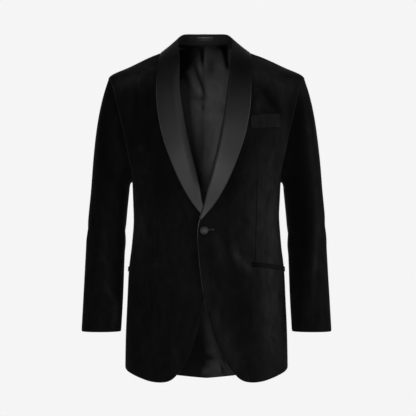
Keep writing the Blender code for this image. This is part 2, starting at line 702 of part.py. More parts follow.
def collar_places():
    """Places of the collar's sections, matching the points of the edge that it is sewn to."""
    lapel = np.linspace(0.0, 1.0, ROLL_CELLS + 1)
    neck = np.linspace(1.0, 2.0 - COLLAR_END, COLLAR_NECK_CELLS + 1)
    return np.concatenate([lapel, neck[1:]])


def make_material(name):
    """Principled material of one finish."""
    finish = FINISHES[name]
    material = bpy.data.materials.new(name)
    material.use_nodes = True
    shader = material.node_tree.nodes["Principled BSDF"]
    shader.inputs["Base Color"].default_value = (*finish.colour, 1.0)
    shader.inputs["Roughness"].default_value = finish.roughness
    shader.inputs["Metallic"].default_value = 0.0
    return material


def add_object(name, mesh, finish):
    """Object from a closed mesh, with its own material, shaded smooth."""
    bmesh.ops.recalc_face_normals(mesh, faces=mesh.faces)
    for face in mesh.faces:
        face.smooth = True
    data = bpy.data.meshes.new(name)
    mesh.to_mesh(data)
    mesh.free()
    data.materials.append(make_material(finish))
    thing = bpy.data.objects.new(name, data)
    bpy.context.scene.collection.objects.link(thing)


def add_wall(name, outer, inner, finish):
    """Closed wall between two grids of points of the same shape."""
    rows, columns = outer.shape[:2]
    mesh = bmesh.new()
    faces = [[[mesh.verts.new(point) for point in row] for row in grid] for grid in (outer, inner)]
    for r in range(rows - 1):
        for c in range(columns - 1):
            for grid in faces:
                a, b = grid[r][c], grid[r][c + 1]
                d, e = grid[r + 1][c], grid[r + 1][c + 1]
                mesh.faces.new((a, b, e))
                mesh.faces.new((a, e, d))
    rim = [(0, c) for c in range(columns)]
    rim += [(r, columns - 1) for r in range(1, rows)]
    rim += [(rows - 1, c) for c in range(columns - 2, -1, -1)]
    rim += [(r, 0) for r in range(rows - 2, 0, -1)]
    for (r, c), (s, d) in zip(rim, rim[1:] + rim[:1]):
        a, b = faces[0][r][c], faces[0][s][d]
        e, f = faces[1][s][d], faces[1][r][c]
        mesh.faces.new((a, b, e))
        mesh.faces.new((a, e, f))
    add_object(name, mesh, finish)


def add_panel(name, side, grid, finish, outside=0.0, wall=PANEL_WALL):
    """Wall on the torso from an (angle, z) grid; outside is how far its outer face stands out."""
    angle, z = grid[..., 0], grid[..., 1]
    outer = torso_surface(side, angle, z, outside)
    inner = torso_surface(side, angle, z, outside - wall)
    add_wall(name, outer, inner, finish)


def add_body(side):
    """Front, side body and back half of one side."""
    name = SIDE_NAMES[side]
    add_panel(f"front_{name}", side, front_domain(side), "velvet")
    add_panel(f"side_{name}", side, side_domain(), "velvet")
    add_panel(f"back_{name}", side, back_domain(), "velvet")


def add_lining(side):
    """Half of the back lining, inside the back, with half of its centre pleat."""
    grid = lining_domain()
    outside = -(PANEL_WALL + LAY_GAP) - lining_pleat(side, grid)
    add_panel(f"back_lining_{SIDE_NAMES[side]}", side, grid, "lining", outside, LINING_WALL)


def add_sleeve(side):
    """Top and under halves of one sleeve, split at two of the armhole's points."""
    turns = armhole_turns()
    nudge = SEAM_GAP / 2 / SLEEVE_FOLD_RADIUS
    top = np.concatenate([turns[SLEEVE_BACK_SEAM:] - 2 * math.pi, turns[1 : SLEEVE_FRONT_SEAM + 1]])
    under = turns[SLEEVE_FRONT_SEAM : SLEEVE_BACK_SEAM + 1].copy()
    top[0] += nudge
    top[-1] -= nudge
    under[0] += nudge
    under[-1] -= nudge
    for half, half_turns in (("top", top), ("under", under)):
        outer, inner = sleeve_grids(side, half_turns)
        add_wall(f"{half}_sleeve_{SIDE_NAMES[side]}", outer, inner, "velvet")


def add_collar(side):
    """One half of the shawl collar."""
    outer = collar_grid(side, collar_places())
    inner = outer - COLLAR_WALL * grid_normal(outer, side)
    add_wall(f"shawl_collar_{SIDE_NAMES[side]}", outer, inner, "satin")


def add_welt():
    """Breast pocket welt on the left front."""
    across = np.linspace(0.0, 1.0, WELT_CELLS[0] + 1)[None, :]
    up = np.linspace(0.0, 1.0, WELT_CELLS[1] + 1)[:, None]
    x = WELT_X[0] + (WELT_X[1] - WELT_X[0]) * across + 0 * up
    z = WELT_Z[0] + (WELT_Z[1] - WELT_Z[0]) * up + WELT_TILT * (across - 0.5)
    grid = np.stack([angle_at(x, z), z], -1)
    add_panel("breast_welt", LEFT, grid, "velvet", LAY_GAP + TRIM_WALL, TRIM_WALL)


def add_hip_jets(side):
    """Upper and lower lip of one hip pocket."""
    angle = np.radians(np.linspace(JET_START_DEGREES, JET_END_DEGREES, JET_CELLS + 1))
    middle = np.linspace(*JET_Z, JET_CELLS + 1)
    for name, low, high in (
        ("upper", JET_MOUTH / 2, JET_MOUTH / 2 + JET_HEIGHT),
        ("lower", -JET_MOUTH / 2 - JET_HEIGHT, -JET_MOUTH / 2),
    ):
        grid = np.stack([
            np.stack([angle, middle + low], -1),
            np.stack([angle, middle + high], -1),
        ])
        node = f"hip_jet_{name}_{SIDE_NAMES[side]}"
        add_panel(node, side, grid, "velvet", LAY_GAP + TRIM_WALL, TRIM_WALL)


def add_button():
    """Covered button, turned from a few rings, on the left front at the centre line."""
    z = np.array([BUTTON_Z])
    angle = angle_at(front_local_x(LEFT, BUTTON_FROM_CENTRE, z), z)
    base = torso_surface(LEFT, angle, z, LAY_GAP)[0]
    axis = torso_normal(LEFT, angle, z)[0]
    across = unit(np.cross(axis, [0.0, 0.0, 1.0]))
    upward = np.cross(across, axis)
    mesh = bmesh.new()
    turns = np.linspace(0.0, 2 * math.pi, BUTTON_SIDES, endpoint=False)
    rings = []
    for row in BUTTON_RINGS:
        spokes = [across * math.cos(t) + upward * math.sin(t) for t in turns]
        rings.append([mesh.verts.new(base + axis * row.height + spoke * row.radius) for spoke in spokes])
    for low, high in zip(rings, rings[1:]):
        for i in range(BUTTON_SIDES):
            j = (i + 1) % BUTTON_SIDES
            mesh.faces.new((low[i], low[j], high[j]))
            mesh.faces.new((low[i], high[j], high[i]))
    foot = mesh.verts.new(base)
    crown = mesh.verts.new(base + axis * BUTTON_HEIGHT)
    for i in range(BUTTON_SIDES):
        j = (i + 1) % BUTTON_SIDES
        mesh.faces.new((foot, rings[0][j], rings[0][i]))
        mesh.faces.new((crown, rings[-1][i], rings[-1][j]))
    add_object("button", mesh, "satin")


def add_label():
    """Plain label on the inside of the collar stand, across the back centre."""
    neck_half_width = float(ring_values(TORSO_RINGS, ("half_width",), BACK_NECK_Z)[0])
    x = np.linspace(-LABEL_HALF_WIDTH, LABEL_HALF_WIDTH, LABEL_CELLS + 1)
    columns = []
    for value in x:
        side = LEFT if value >= 0 else RIGHT
        place = 2.0 - math.asin(abs(value) / neck_half_width) / QUARTER
        grid = collar_grid(side, [place - COLLAR_END, place - 2 * COLLAR_END])
        foot, top = grid[0, 0], grid[0, 2]
        inward = -away_from_middle(foot)
        low, high = [foot + (top - foot) * share for share in LABEL_ON_STAND]
        columns.append(np.stack([low, high]) + inward * LAY_GAP)
    back = np.stack(columns, 1)
    inward = -away_from_middle(back)
    add_wall("neck_label", back + inward * LABEL_WALL, back, "label")


def build():
    """Clear the scene and make every piece."""
    for thing in list(bpy.data.objects):
        bpy.data.objects.remove(thing, do_unlink=True)
    for side in (LEFT, RIGHT):
        add_body(side)
        add_sleeve(side)
        add_collar(side)
        add_lining(side)
        add_hip_jets(side)
    add_welt()
    add_button()
    add_label()


build()
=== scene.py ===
"""Tuxedo jacket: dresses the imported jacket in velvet, satin and lining, with its folds, seams and button."""

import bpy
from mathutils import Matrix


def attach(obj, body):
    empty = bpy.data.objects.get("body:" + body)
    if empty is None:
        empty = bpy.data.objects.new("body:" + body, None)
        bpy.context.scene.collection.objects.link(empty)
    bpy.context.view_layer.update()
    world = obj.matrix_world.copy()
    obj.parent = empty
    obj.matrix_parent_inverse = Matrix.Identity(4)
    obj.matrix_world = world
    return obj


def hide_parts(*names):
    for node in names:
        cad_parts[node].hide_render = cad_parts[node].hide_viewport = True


bl_info = {
    "name": "Tuxedo Jacket",
    "version": (1, 0, 0),
    "blender": (4, 5, 0),
    "location": "3D View > Sidebar > Jacket",
    "description": "Dresses the jacket's packed solids as velvet, satin and lining",
    "category": "Object",
}

import math
from collections import namedtuple

import bmesh
import bpy
import numpy as np
from bpy.props import FloatProperty, FloatVectorProperty, IntProperty, PointerProperty
from mathutils import Matrix, Vector
from mathutils.bvhtree import BVHTree

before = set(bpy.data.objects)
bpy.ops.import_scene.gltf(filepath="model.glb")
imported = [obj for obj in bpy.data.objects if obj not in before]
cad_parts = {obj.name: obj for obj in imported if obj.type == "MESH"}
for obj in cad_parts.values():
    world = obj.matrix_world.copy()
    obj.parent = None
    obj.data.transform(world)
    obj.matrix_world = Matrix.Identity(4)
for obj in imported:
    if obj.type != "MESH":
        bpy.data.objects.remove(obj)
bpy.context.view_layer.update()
BODY = "root"
SIDES = ("left", "right")

# The cut of each piece that shows: flat width and length, cloth area, how it is held and on what
Cut = namedtuple("Cut", "width length area held rests_on")


# Soft folds: a ridge outward or a trough inward on the cloth that faces one way
Fold = namedtuple("Fold", "faces across z half_width half_length lean_degrees height")
FACING = {
    "front": Vector((0.0, -1.0, 0.0)),
    "back": Vector((0.0, 1.0, 0.0)),
    "left": Vector((1.0, 0.0, 0.0)),
    "right": Vector((-1.0, 0.0, 0.0)),
}


def patches(kind, faces, *rows):
    """Folds or tones on the cloth that faces one way."""
    return tuple(kind(faces, *row) for row in rows)


BODY_FOLDS = patches(
    Fold, "front",
    (0.030, -0.392, 0.010, 0.036, 40, 0.0018),
    (0.052, -0.402, 0.011, 0.040, 30, -0.0017),
    (0.075, -0.405, 0.013, 0.045, 20, 0.0016),
    (-0.045, -0.395, 0.012, 0.040, -34, 0.0013),
    (-0.070, -0.410, 0.012, 0.044, -22, -0.0012),
    (0.058, -0.560, 0.020, 0.100, 22, 0.0024),
    (0.095, -0.570, 0.022, 0.110, 10, -0.0020),
    (-0.090, -0.560, 0.024, 0.110, -8, 0.0018),
    (0.138, -0.035, 0.016, 0.034, 32, -0.0022),
    (-0.138, -0.050, 0.016, 0.036, -30, -0.0016),
    (0.146, -0.300, 0.010, 0.040, 60, -0.0014),
    (-0.146, -0.320, 0.010, 0.036, -62, -0.0013),
) + patches(
    Fold, "back",
    (0.085, -0.330, 0.013, 0.060, 74, -0.0018),
    (-0.080, -0.345, 0.013, 0.055, -72, -0.0017),
    (0.060, -0.375, 0.012, 0.050, 80, 0.0014),
    (-0.055, -0.385, 0.012, 0.046, -78, 0.0013),
    (0.128, -0.140, 0.013, 0.070, 10, 0.0022),
    (-0.126, -0.150, 0.013, 0.066, -9, 0.0020),
    (0.090, -0.580, 0.022, 0.100, 5, 0.0024),
    (-0.098, -0.590, 0.022, 0.096, -6, 0.0022),
)
SLEEVE_FOLDS = patches(
    Fold, "front",
    (0.247, -0.205, 0.008, 0.095, -4, -0.0022),
    (0.262, -0.240, 0.009, 0.100, -5, 0.0018),
    (0.226, -0.350, 0.011, 0.050, 38, -0.0018),
    (0.240, -0.385, 0.011, 0.050, 42, 0.0016),
    (0.232, -0.470, 0.012, 0.080, 8, -0.0014),
    (-0.226, -0.300, 0.011, 0.070, 6, -0.0016),
    (-0.238, -0.360, 0.011, 0.046, -40, 0.0016),
    (-0.250, -0.470, 0.012, 0.070, -10, -0.0016),
) + patches(
    Fold, "left",
    (0.010, -0.360, 0.012, 0.050, 52, -0.0018),
    (0.020, -0.395, 0.012, 0.046, 46, 0.0016),
) + patches(
    Fold, "right",
    (0.012, -0.370, 0.012, 0.050, 50, -0.0018),
    (0.022, -0.405, 0.012, 0.046, 44, 0.0016),
) + patches(
    Fold, "back",
    (0.235, -0.350, 0.012, 0.050, -36, 0.0018),
    (-0.235, -0.360, 0.012, 0.050, 36, 0.0018),
)
LINING_FOLDS = patches(
    Fold, "back",
    (-0.0250, -0.0140, 0.0090, 0.034, 22, 0.0036),
    (-0.0180, 0.0380, 0.0060, 0.026, 10, 0.0024),
    (-0.0120, -0.0720, 0.0060, 0.018, 40, 0.0016),
    (0.0060, 0.0300, 0.0045, 0.026, 4, 0.0022),
    (0.0170, 0.0320, 0.0045, 0.022, -6, 0.0024),
    (0.0290, 0.0250, 0.0060, 0.034, -12, 0.0028),
    (0.0180, -0.0400, 0.0080, 0.030, 60, 0.0020),
    (0.0340, -0.0700, 0.0070, 0.026, -40, 0.0020),
    (0.0500, 0.0420, 0.0050, 0.018, -30, 0.0028),
    (0.0520, 0.0160, 0.0050, 0.014, 24, 0.0022),
    (0.0200, -0.1470, 0.0045, 0.055, -14, 0.0026),
    (0.0060, -0.1200, 0.0070, 0.050, -4, 0.0014),
    (-0.0060, -0.6500, 0.0095, 0.028, 56, 0.0015),
    (0.0160, -0.6640, 0.0085, 0.026, 82, 0.0022),
    (0.0260, -0.6800, 0.0050, 0.018, 64, 0.0026),
    (0.0420, -0.6740, 0.0050, 0.016, 20, 0.0026),
    (0.0060, -0.6880, 0.0060, 0.020, -70, 0.0018),
    (-0.0400, -0.6700, 0.0100, 0.028, 30, 0.0012),
    (0.0900, -0.2000, 0.0120, 0.090, 10, 0.0026),
    (-0.0950, -0.2600, 0.0120, 0.080, -12, 0.0024),
    (0.0800, -0.4600, 0.0140, 0.100, -6, 0.0026),
    (-0.0700, -0.4800, 0.0140, 0.090, 8, 0.0024),
)

# Tones: patches lighter (more than 0) or darker (less) than the cloth around, for brushed pile, painted light,
# painted shade and the label's print
Tone = namedtuple("Tone", "faces across z half_width half_length lean_degrees amount")
# Velvet: brushed pile, and painted light and shade: lighter bands where the cloth turns toward the lights,
# painted shadow along the collar's edge, and the light ridges and dark troughs of folds
VELVET_PILE_AND_PAINTED_LIGHT = patches(
    Tone, "front",
    (0.146, -0.325, 0.031, 0.135, 0, 2.7),
    (0.092, -0.290, 0.022, 0.080, 0, 0.5),
    (0.104, -0.370, 0.010, 0.060, 0, 0.9),
    (0.156, -0.560, 0.031, 0.125, 0, 2.1),
    (0.035, -0.580, 0.016, 0.130, 21, 1.0),
    (0.083, -0.560, 0.030, 0.110, 8, -0.45),
    (0.067, -0.407, 0.007, 0.028, 12, 2.0),
    (0.081, -0.426, 0.007, 0.027, 44, 3.0),
    (0.029, -0.394, 0.010, 0.031, 4, 1.0),
    (0.049, -0.394, 0.007, 0.030, 10, -0.60),
    (0.162, -0.372, 0.016, 0.060, 4, 1.4),
    (0.152, -0.063, 0.0095, 0.036, 38, -1.00),
    (0.119, -0.066, 0.014, 0.020, 0, 0.9),
    (0.172, -0.057, 0.010, 0.030, 10, 0.7),
    (0.142, 0.004, 0.024, 0.070, 66, 2.0),
    (0.1035, -0.048, 0.0045, 0.045, 2, -0.8),
    (0.194, -0.082, 0.009, 0.060, -10, -0.9),
    (0.158, -0.097, 0.007, 0.012, 0, 0.8),
    (0.138, -0.083, 0.003, 0.030, 88, -0.7),
    (0.178, -0.171, 0.010, 0.090, -6, 1.0),
    (0.049, -0.262, 0.020, 0.050, -30, -0.30),
    (0.076, -0.200, 0.020, 0.085, -24, -0.60),
    (-0.163, 0.007, 0.022, 0.080, -63, 3.8),
    (-0.092, -0.250, 0.030, 0.060, 0, -0.40),
    (-0.128, -0.126, 0.070, 0.110, 0, -0.48),
    (-0.156, -0.342, 0.021, 0.065, 0, 1.8),
    (-0.151, -0.168, 0.010, 0.009, 50, 0.9),
    (-0.151, -0.217, 0.014, 0.007, 0, 0.6),
    (-0.128, -0.435, 0.006, 0.032, 84, 0.5),
    (-0.115, -0.428, 0.006, 0.006, 0, 0.9),
) + patches(
    Tone, "back",
    (0.110, -0.250, 0.050, 0.160, 6, 0.8),
    (-0.060, -0.480, 0.060, 0.140, -5, 0.6),
    (0.040, -0.100, 0.050, 0.070, 30, 0.5),
)
# Sleeves: brushed pile, and painted light and shade: light streaks along creases, lighter bands where they
# turn toward the lights, and darker bands on their fronts beside the body
SLEEVE_PILE_AND_PAINTED_LIGHT = patches(
    Tone, "front",
    (0.206, -0.180, 0.026, 0.180, 0, -0.70),
    (0.226, -0.370, 0.022, 0.160, -2, -0.60),
    (0.240, -0.157, 0.006, 0.130, 7, 0.9),
    (0.2515, -0.412, 0.006, 0.110, -4, 1.3),
    (0.262, -0.354, 0.010, 0.250, 0, 0.6),
    (0.222, -0.018, 0.020, 0.028, 0, 1.1),
    (-0.236, -0.170, 0.034, 0.110, 2, -0.40),
    (-0.233, -0.412, 0.006, 0.060, 2, 0.6),
    (-0.273, -0.435, 0.008, 0.090, 0, 0.5),
    (-0.219, -0.503, 0.006, 0.028, 30, 0.8),
    (-0.208, -0.551, 0.008, 0.030, -4, 1.4),
    (-0.249, -0.533, 0.008, 0.008, 0, -0.35),
) + patches(
    Tone, "left",
    (0.010, -0.300, 0.030, 0.200, 3, 0.6),
) + patches(
    Tone, "right",
    (0.015, -0.330, 0.030, 0.200, -3, 0.5),
)
# Lining: painted shade beside the lapels and under the collar, painted dark spots for the puckers along its
# seam, and painted light on its lit streaks and hem folds
LINING_PAINTED_LIGHT = patches(
    Tone, "back",
    (-0.056, 0.030, 0.020, 0.090, 3, -1.10),
    (-0.042, -0.124, 0.015, 0.085, 10, -1.05),
    (-0.022, -0.230, 0.013, 0.055, 11, -1.00),
    (-0.028, 0.066, 0.028, 0.034, 0, -0.80),
    (-0.0095, 0.058, 0.004, 0.022, 3, -0.90),
    (-0.0130, -0.008, 0.0038, 0.032, 20, -1.00),
    (-0.025, -0.014, 0.010, 0.022, 22, 0.50),
    (0.0107, 0.033, 0.009, 0.022, 0, -0.62),
    (0.0100, 0.068, 0.026, 0.011, 0, -0.25),
    (0.0290, 0.052, 0.012, 0.016, 0, -0.42),
    (-0.0142, 0.027, 0.005, 0.014, 12, 0.70),
    (-0.0166, -0.024, 0.005, 0.008, 20, 0.55),
    (-0.0245, -0.042, 0.005, 0.021, 86, -0.42),
    (-0.0095, -0.043, 0.006, 0.005, 0, -0.45),
    (-0.0058, -0.040, 0.0025, 0.036, 0, -0.42),
    (-0.0480, 0.019, 0.012, 0.009, 0, 0.30),
    (0.0455, 0.054, 0.007, 0.022, 8, -1.25),
    (0.0495, 0.033, 0.005, 0.011, 10, -0.90),
    (-0.0083, -0.064, 0.004, 0.008, 0, -0.85),
    (-0.0083, -0.097, 0.004, 0.005, 0, -0.20),
    (-0.0083, -0.123, 0.004, 0.006, 0, -0.20),
    (0.0130, -0.150, 0.016, 0.085, -11, 0.80),
    (0.0150, 0.055, 0.022, 0.024, 0, -0.25),
    (0.022, -0.060, 0.030, 0.075, 0, 0.70),
    (0.008, -0.190, 0.016, 0.045, -8, 0.90),
    (-0.022, -0.080, 0.014, 0.050, 6, 0.55),
    (0.020, -0.147, 0.004, 0.055, -14, 1.20),
    (0.025, -0.158, 0.005, 0.045, -14, 2.20),
    (0.010, -0.140, 0.0035, 0.040, -10, -0.30),
    (0.000, -0.110, 0.014, 0.070, 0, 0.45),
    (-0.050, -0.045, 0.010, 0.045, 8, -0.80),
    (0.000, 0.078, 0.060, 0.008, 0, -0.40),
    (0.042, 0.077, 0.026, 0.014, 0, -0.75),
    (0.000, -0.270, 0.016, 0.030, 0, 0.30),
    (0.000, -0.665, 0.200, 0.150, 0, -0.88),
    (-0.034, -0.660, 0.020, 0.060, 0, -0.15),
    (0.020, -0.684, 0.024, 0.026, 0, 0.36),
    (0.006, -0.662, 0.0050, 0.022, 86, -0.22),
    (0.012, -0.641, 0.012, 0.009, 0, 0.16),
    (-0.006, -0.694, 0.012, 0.010, 0, 0.22),
    (0.038, -0.689, 0.0035, 0.012, 18, -0.40),
    (-0.020, -0.630, 0.018, 0.090, 8, -0.14),
    (-0.040, -0.688, 0.034, 0.022, 0, -0.30),
    (0.012, -0.618, 0.007, 0.060, 16, 0.24),
    (-0.014, -0.560, 0.011, 0.042, 4, -0.22),
)
# Satin: painted highlight and shade: the lapels lighter in their middle and darker near the top, and the
# collar's back darker on one side and lighter on the other and in the middle
SATIN_PAINTED_LIGHT = patches(
    Tone, "front",
    (-0.083, -0.075, 0.035, 0.060, 0, 1.5),
    (0.075, -0.090, 0.035, 0.050, 0, 0.6),
    (0.090, 0.025, 0.050, 0.050, 0, -0.9),
    (-0.075, 0.060, 0.035, 0.025, 0, -0.9),
) + patches(
    Tone, "back",
    (-0.050, 0.098, 0.018, 0.030, 0, -0.9),
    (0.046, 0.098, 0.020, 0.030, 0, 1.2),
    (0.004, 0.098, 0.026, 0.020, 0, 0.7),
)
LABEL_TONES = patches(Tone, "back", (-0.003, 0.1001, 0.060, 0.0010, 0, 4.2))
PANEL_TONES = {"velvet": VELVET_PILE_AND_PAINTED_LIGHT, "satin": SATIN_PAINTED_LIGHT}

# Tones: what whole pieces add to their patches (the welt's and each lining half's are painted light and
# shade), the inside's, the least, and the dark lips' share of velvet, a darker copy that paints shade
SLEEVE_TONE = -0.18
WELT_PAINTED_LIGHT = 0.9
LABEL_TONE = -0.55
LINING_HALF_PAINTED_LIGHT = {"left": 0.14, "right": -0.10}
INSIDE_TONE = 0.20
LEAST_TONE = 0.03
JET_SHADE = 0.5

# Half width and half depth of the level ovals that the body and the sleeves lie on
BODY_AXES = (0.190, 0.118)
SLEEVE_AXES = (0.046, 0.060)
SLEEVE_MIDDLE_X = 0.236

# Armholes: where they lie, each side's share of the painted highlight along their seams, and how far an edge
# is moved to close them
ARMPIT_Z = -0.250
ARMHOLE_X = 0.120
ARMHOLE_HIGHLIGHT_SHARE = {"left": 0.15, "right": 1.0}
SLEEVE_SEAT_REACH = 0.0030
SIDE_SEAT_REACH = 0.0012
SEAT_OVERLAP = 0.0012

# Heights between which a sleeve's folds grow to their full height, below its cap
SLEEVE_FOLDS_TOP = -0.06
SLEEVE_FOLDS_FULL = -0.16

# Heights between which the lapels bend toward their roll, from the neck down
ROLL_TOP = 0.040
ROLL_FULL = -0.020
ROLL_ALL = -0.230
ROLL_FOOT = -0.275
ROLL_LEVELS = 40
ROLL_SHARE = {"left": 0.75, "right": 1.4}

# Painted highlight along the collar's edge: heights between which it grows, and its share on each side
EDGE_HIGHLIGHT_TOP = 0.010
EDGE_HIGHLIGHT_FULL = -0.045
COLLAR_HIGHLIGHT_SHARE = {"left": 0.30, "right": 1.0}

# Collar stand: how far back its satin is matt
STAND_FROM_Y = 0.020

# Lining: its clearance from the back, its seam, its top and its hem
LINING_CLEAR = 0.0008
LINING_NECK_CLEAR = 0.0065
LINING_NECK_LOW = 0.0
LINING_NECK_HIGH = 0.05
LINING_SEAM_SHIFT = 0.0065
LINING_SEAM_SPREAD = 0.045
LINING_TOP_BAND = 0.030
LINING_TOP_RISE = 0.008
LINING_HEM_BAND = 0.040
LINING_HEM_DROP = 0.0105

# Lining's raised top: where the collar's stand is looked for, and how far in front of it the wall lies
NECK_MIDDLE_Y = -0.02
STAND_NEAREST_Y = 0.01
LINING_STAND_CLEAR = 0.0014
LINING_WALL = 0.0010

# Matt lining: heights between which it starts, the tone below which it shows, and its strength
LINING_MATT_TOP = -0.480
LINING_MATT_FULL = -0.580
LINING_MATT_BELOW = 0.22
LINING_MATT = 0.36

# Front dart: where its stitched line starts and ends on each front, its painted shade, its reach and its taper
DART_TOP = (0.1163, -0.205)
DART_FOOT = (0.1117, -0.427)
DART_SHADE = {"left": 0.15, "right": 0.60}
DART_REACH = 0.02
DART_TAPER = 12.0

# Satin that rolls out along the left front's edge: share of its thickness and its tone, a painted highlight
# strongest near the top, from its foot up
EdgeRoll = namedtuple("EdgeRoll", "z thickness tone")
EDGE_ROLL = (
    EdgeRoll(-0.520, 0.15, 0.5),
    EdgeRoll(-0.480, 0.30, 1.0),
    EdgeRoll(-0.430, 0.42, 1.0),
    EdgeRoll(-0.415, 0.36, 0.5),
    EdgeRoll(-0.370, 0.40, 0.5),
    EdgeRoll(-0.350, 0.90, 2.0),
    EdgeRoll(-0.325, 1.10, 3.0),
)
EDGE_ROLL_REACH = 0.05

# Button's profile from its back to its front, and its middle's height, in shares of its radius
BUTTON_PROFILE = (
    (0.00, 0.00), (0.70, 0.00), (0.92, 0.06), (1.00, 0.17), (0.99, 0.28), (0.93, 0.37),
    (0.84, 0.41), (0.76, 0.405), (0.68, 0.43), (0.50, 0.48), (0.26, 0.51), (0.00, 0.52),
)
BUTTON_MIDDLE = 0.26

# Buttonhole: its bend and its end in shares of the thread's radius, and its place from the button
BUTTONHOLE_BEND = 1.2
BUTTONHOLE_END = 2.2
BUTTONHOLE_ASIDE = 0.0152
BUTTONHOLE_ABOVE = 0.0015

# Where a ray starts that looks for the cloth behind a small piece
IN_FRONT_Y = -1.0

# Stage: the softboxes, the floor's colour and fade in shares of its radius, and the camera's sensor
Softbox = namedtuple("Softbox", "name place target size power")
SOFTBOXES = (
    Softbox("front", (0.0, -3.0, -0.78), (0.0, 0.0, -0.25), (3.0, 1.5), 24.0),
    Softbox("eye", (0.0, -4.4, 0.0), (0.0, 0.0, -0.20), (0.9, 0.9), 10.0),
    Softbox("right", (2.6, -1.2, 0.1), (0.1, 0.0, -0.3), (1.2, 2.0), 28.0),
    Softbox("left", (-2.6, -1.4, 0.2), (-0.1, 0.0, -0.3), (1.2, 2.0), 8.0),
    Softbox("above", (0.0, 2.6, 1.7), (0.0, 0.0, 0.0), (2.0, 1.4), 2.0),
    Softbox("behind", (0.0, 3.2, 0.2), (0.0, 0.0, -0.3), (2.4, 1.6), 16.0),
)
FLOOR_COLOUR = (0.86, 0.86, 0.86, 1.0)
FLOOR_FADE = (0.45, 0.98)
SENSOR_WIDTH = 36.0
WHITE = (1.0, 1.0, 1.0, 1.0)
BLACK = (0.0, 0.0, 0.0, 1.0)

# Walls: the kinds of face, and the limits that sort their edges and points
OUTER, INNER, RIM = 0, 1, 2
MERGE_DISTANCE = 1e-5
CUT_DISTANCE = 1e-6
LONGEST_RUN = 28
RIM_ANGLE = math.radians(45)
CORNER_ANGLE = math.radians(40)
LEAST_LENGTH = 1e-9
AT_EDGE = 0.95
ON_EDGE = 0.999
ON_OUTER = 0.5


class JacketCloth(bpy.types.PropertyGroup):
    """Sizes of the cloth's finish."""

    levels: IntProperty(
        name="Smoothing", description="Subdivisions of every cloth panel", default=2, min=1, max=3
    )
    seam_width: FloatProperty(
        name="Seam width", description="Band along a panel's edge that rounds into its seam",
        default=0.0050, min=0.001, max=0.02, unit="LENGTH",
    )
    seam_depth: FloatProperty(
        name="Seam depth", description="How far a panel's edge sinks into its seam",
        default=0.0009, min=0.0, max=0.003, unit="LENGTH",
    )
    seam_reach: FloatProperty(
        name="Seam reach", description="How far a panel's edge is drawn out to meet its neighbour",
        default=0.00025, min=0.0, max=0.002, unit="LENGTH",
    )
    set_in_reach: FloatProperty(
        name="Set-in reach", description="How far a sleeve's head reaches into its armhole",
        default=0.0020, min=0.0, max=0.006, unit="LENGTH",
    )
    collar_edge: FloatProperty(
        name="Collar edge width", description="Rounded band along the collar's edge",
        default=0.0016, min=0.0002, max=0.004, unit="LENGTH",
    )
    roll_width: FloatProperty(
        name="Roll width", description="Band of a lapel that bends toward its roll",
        default=0.0130, min=0.002, max=0.03, unit="LENGTH",
    )
    roll_depth: FloatProperty(
        name="Roll depth", description="How far a lapel bends back at its roll",
        default=0.0020, min=0.0, max=0.004, unit="LENGTH",
    )
    # Painted highlight: how much lighter the colour along the collar's rolled edge is made
    collar_edge_highlight: FloatProperty(
        name="Collar edge tone", description="How much lighter the collar's rolled edge is",
        default=9.0, min=0.0, max=20.0,
    )
    # Painted highlight: how much lighter the colour along the armhole seams is made
    armhole_highlight: FloatProperty(
        name="Armhole tone", description="How much lighter the pile stands along the armhole seams",
        default=2.6, min=0.0, max=5.0,
    )
    welt_stand: FloatProperty(
        name="Welt stand", description="How far the breast welt's top stands off the front",
        default=0.0020, min=0.0, max=0.006, unit="LENGTH",
    )
    trim_width: FloatProperty(
        name="Trim edge width", description="Rounded band along the edge of narrow pieces",
        default=0.0010, min=0.0002, max=0.004, unit="LENGTH",
    )
    trim_depth: FloatProperty(
        name="Trim edge depth", description="How far the edge of the collar and of narrow pieces sinks",
        default=0.0004, min=0.0, max=0.002, unit="LENGTH",
    )
    fold_gain: FloatProperty(
        name="Fold strength", description="Multiplies the height of the soft folds",
        default=1.0, min=0.0, max=2.0,
    )
    dart_depth: FloatProperty(
        name="Dart depth", description="Depth of the front darts' stitched lines",
        default=0.0010, min=0.0, max=0.003, unit="LENGTH",
    )
    dart_width: FloatProperty(
        name="Dart width", description="Half width of the front darts' stitched lines",
        default=0.0016, min=0.0005, max=0.005, unit="LENGTH",
    )


class JacketFinish(bpy.types.PropertyGroup):
    """Colours of the finishes."""

    velvet: FloatVectorProperty(
        name="Velvet", description="Colour of the pile", default=(0.0056, 0.0056, 0.0057),
        subtype="COLOR", size=3, min=0.0, max=1.0,
    )
    velvet_sheen: FloatVectorProperty(
        name="Velvet sheen", description="Tint of the pile seen edge on", default=(0.30, 0.30, 0.31),
        subtype="COLOR", size=3, min=0.0, max=1.0,
    )
    satin: FloatVectorProperty(
        name="Satin", description="Colour of the collar and button", default=(0.0100, 0.0100, 0.0104),
        subtype="COLOR", size=3, min=0.0, max=1.0,
    )
    lining: FloatVectorProperty(
        name="Lining", description="Colour of the lining", default=(0.0920, 0.0920, 0.0935),
        subtype="COLOR", size=3, min=0.0, max=1.0,
    )
    label: FloatVectorProperty(
        name="Label", description="Colour of the bare label", default=(0.0600, 0.0600, 0.0610),
        subtype="COLOR", size=3, min=0.0, max=1.0,
    )


class JacketTrim(bpy.types.PropertyGroup):
    """Sizes of the button, the buttonhole and the front edge's satin roll."""

    button_radius: FloatProperty(
        name="Button radius", description="Radius of the covered button",
        default=0.0099, min=0.005, max=0.02, unit="LENGTH",
    )
    buttonhole_length: FloatProperty(
        name="Buttonhole length", description="Length of the stitched buttonhole that shows",
        default=0.0170, min=0.008, max=0.03, unit="LENGTH",
    )
    buttonhole_thread: FloatProperty(
        name="Buttonhole thread", description="Thickness of the buttonhole's stitched rim",
        default=0.0020, min=0.0005, max=0.004, unit="LENGTH",
    )
    edge_roll: FloatProperty(
        name="Edge roll", description="Thickness of the satin that rolls out along the left front's edge",
        default=0.0026, min=0.0005, max=0.005, unit="LENGTH",
    )


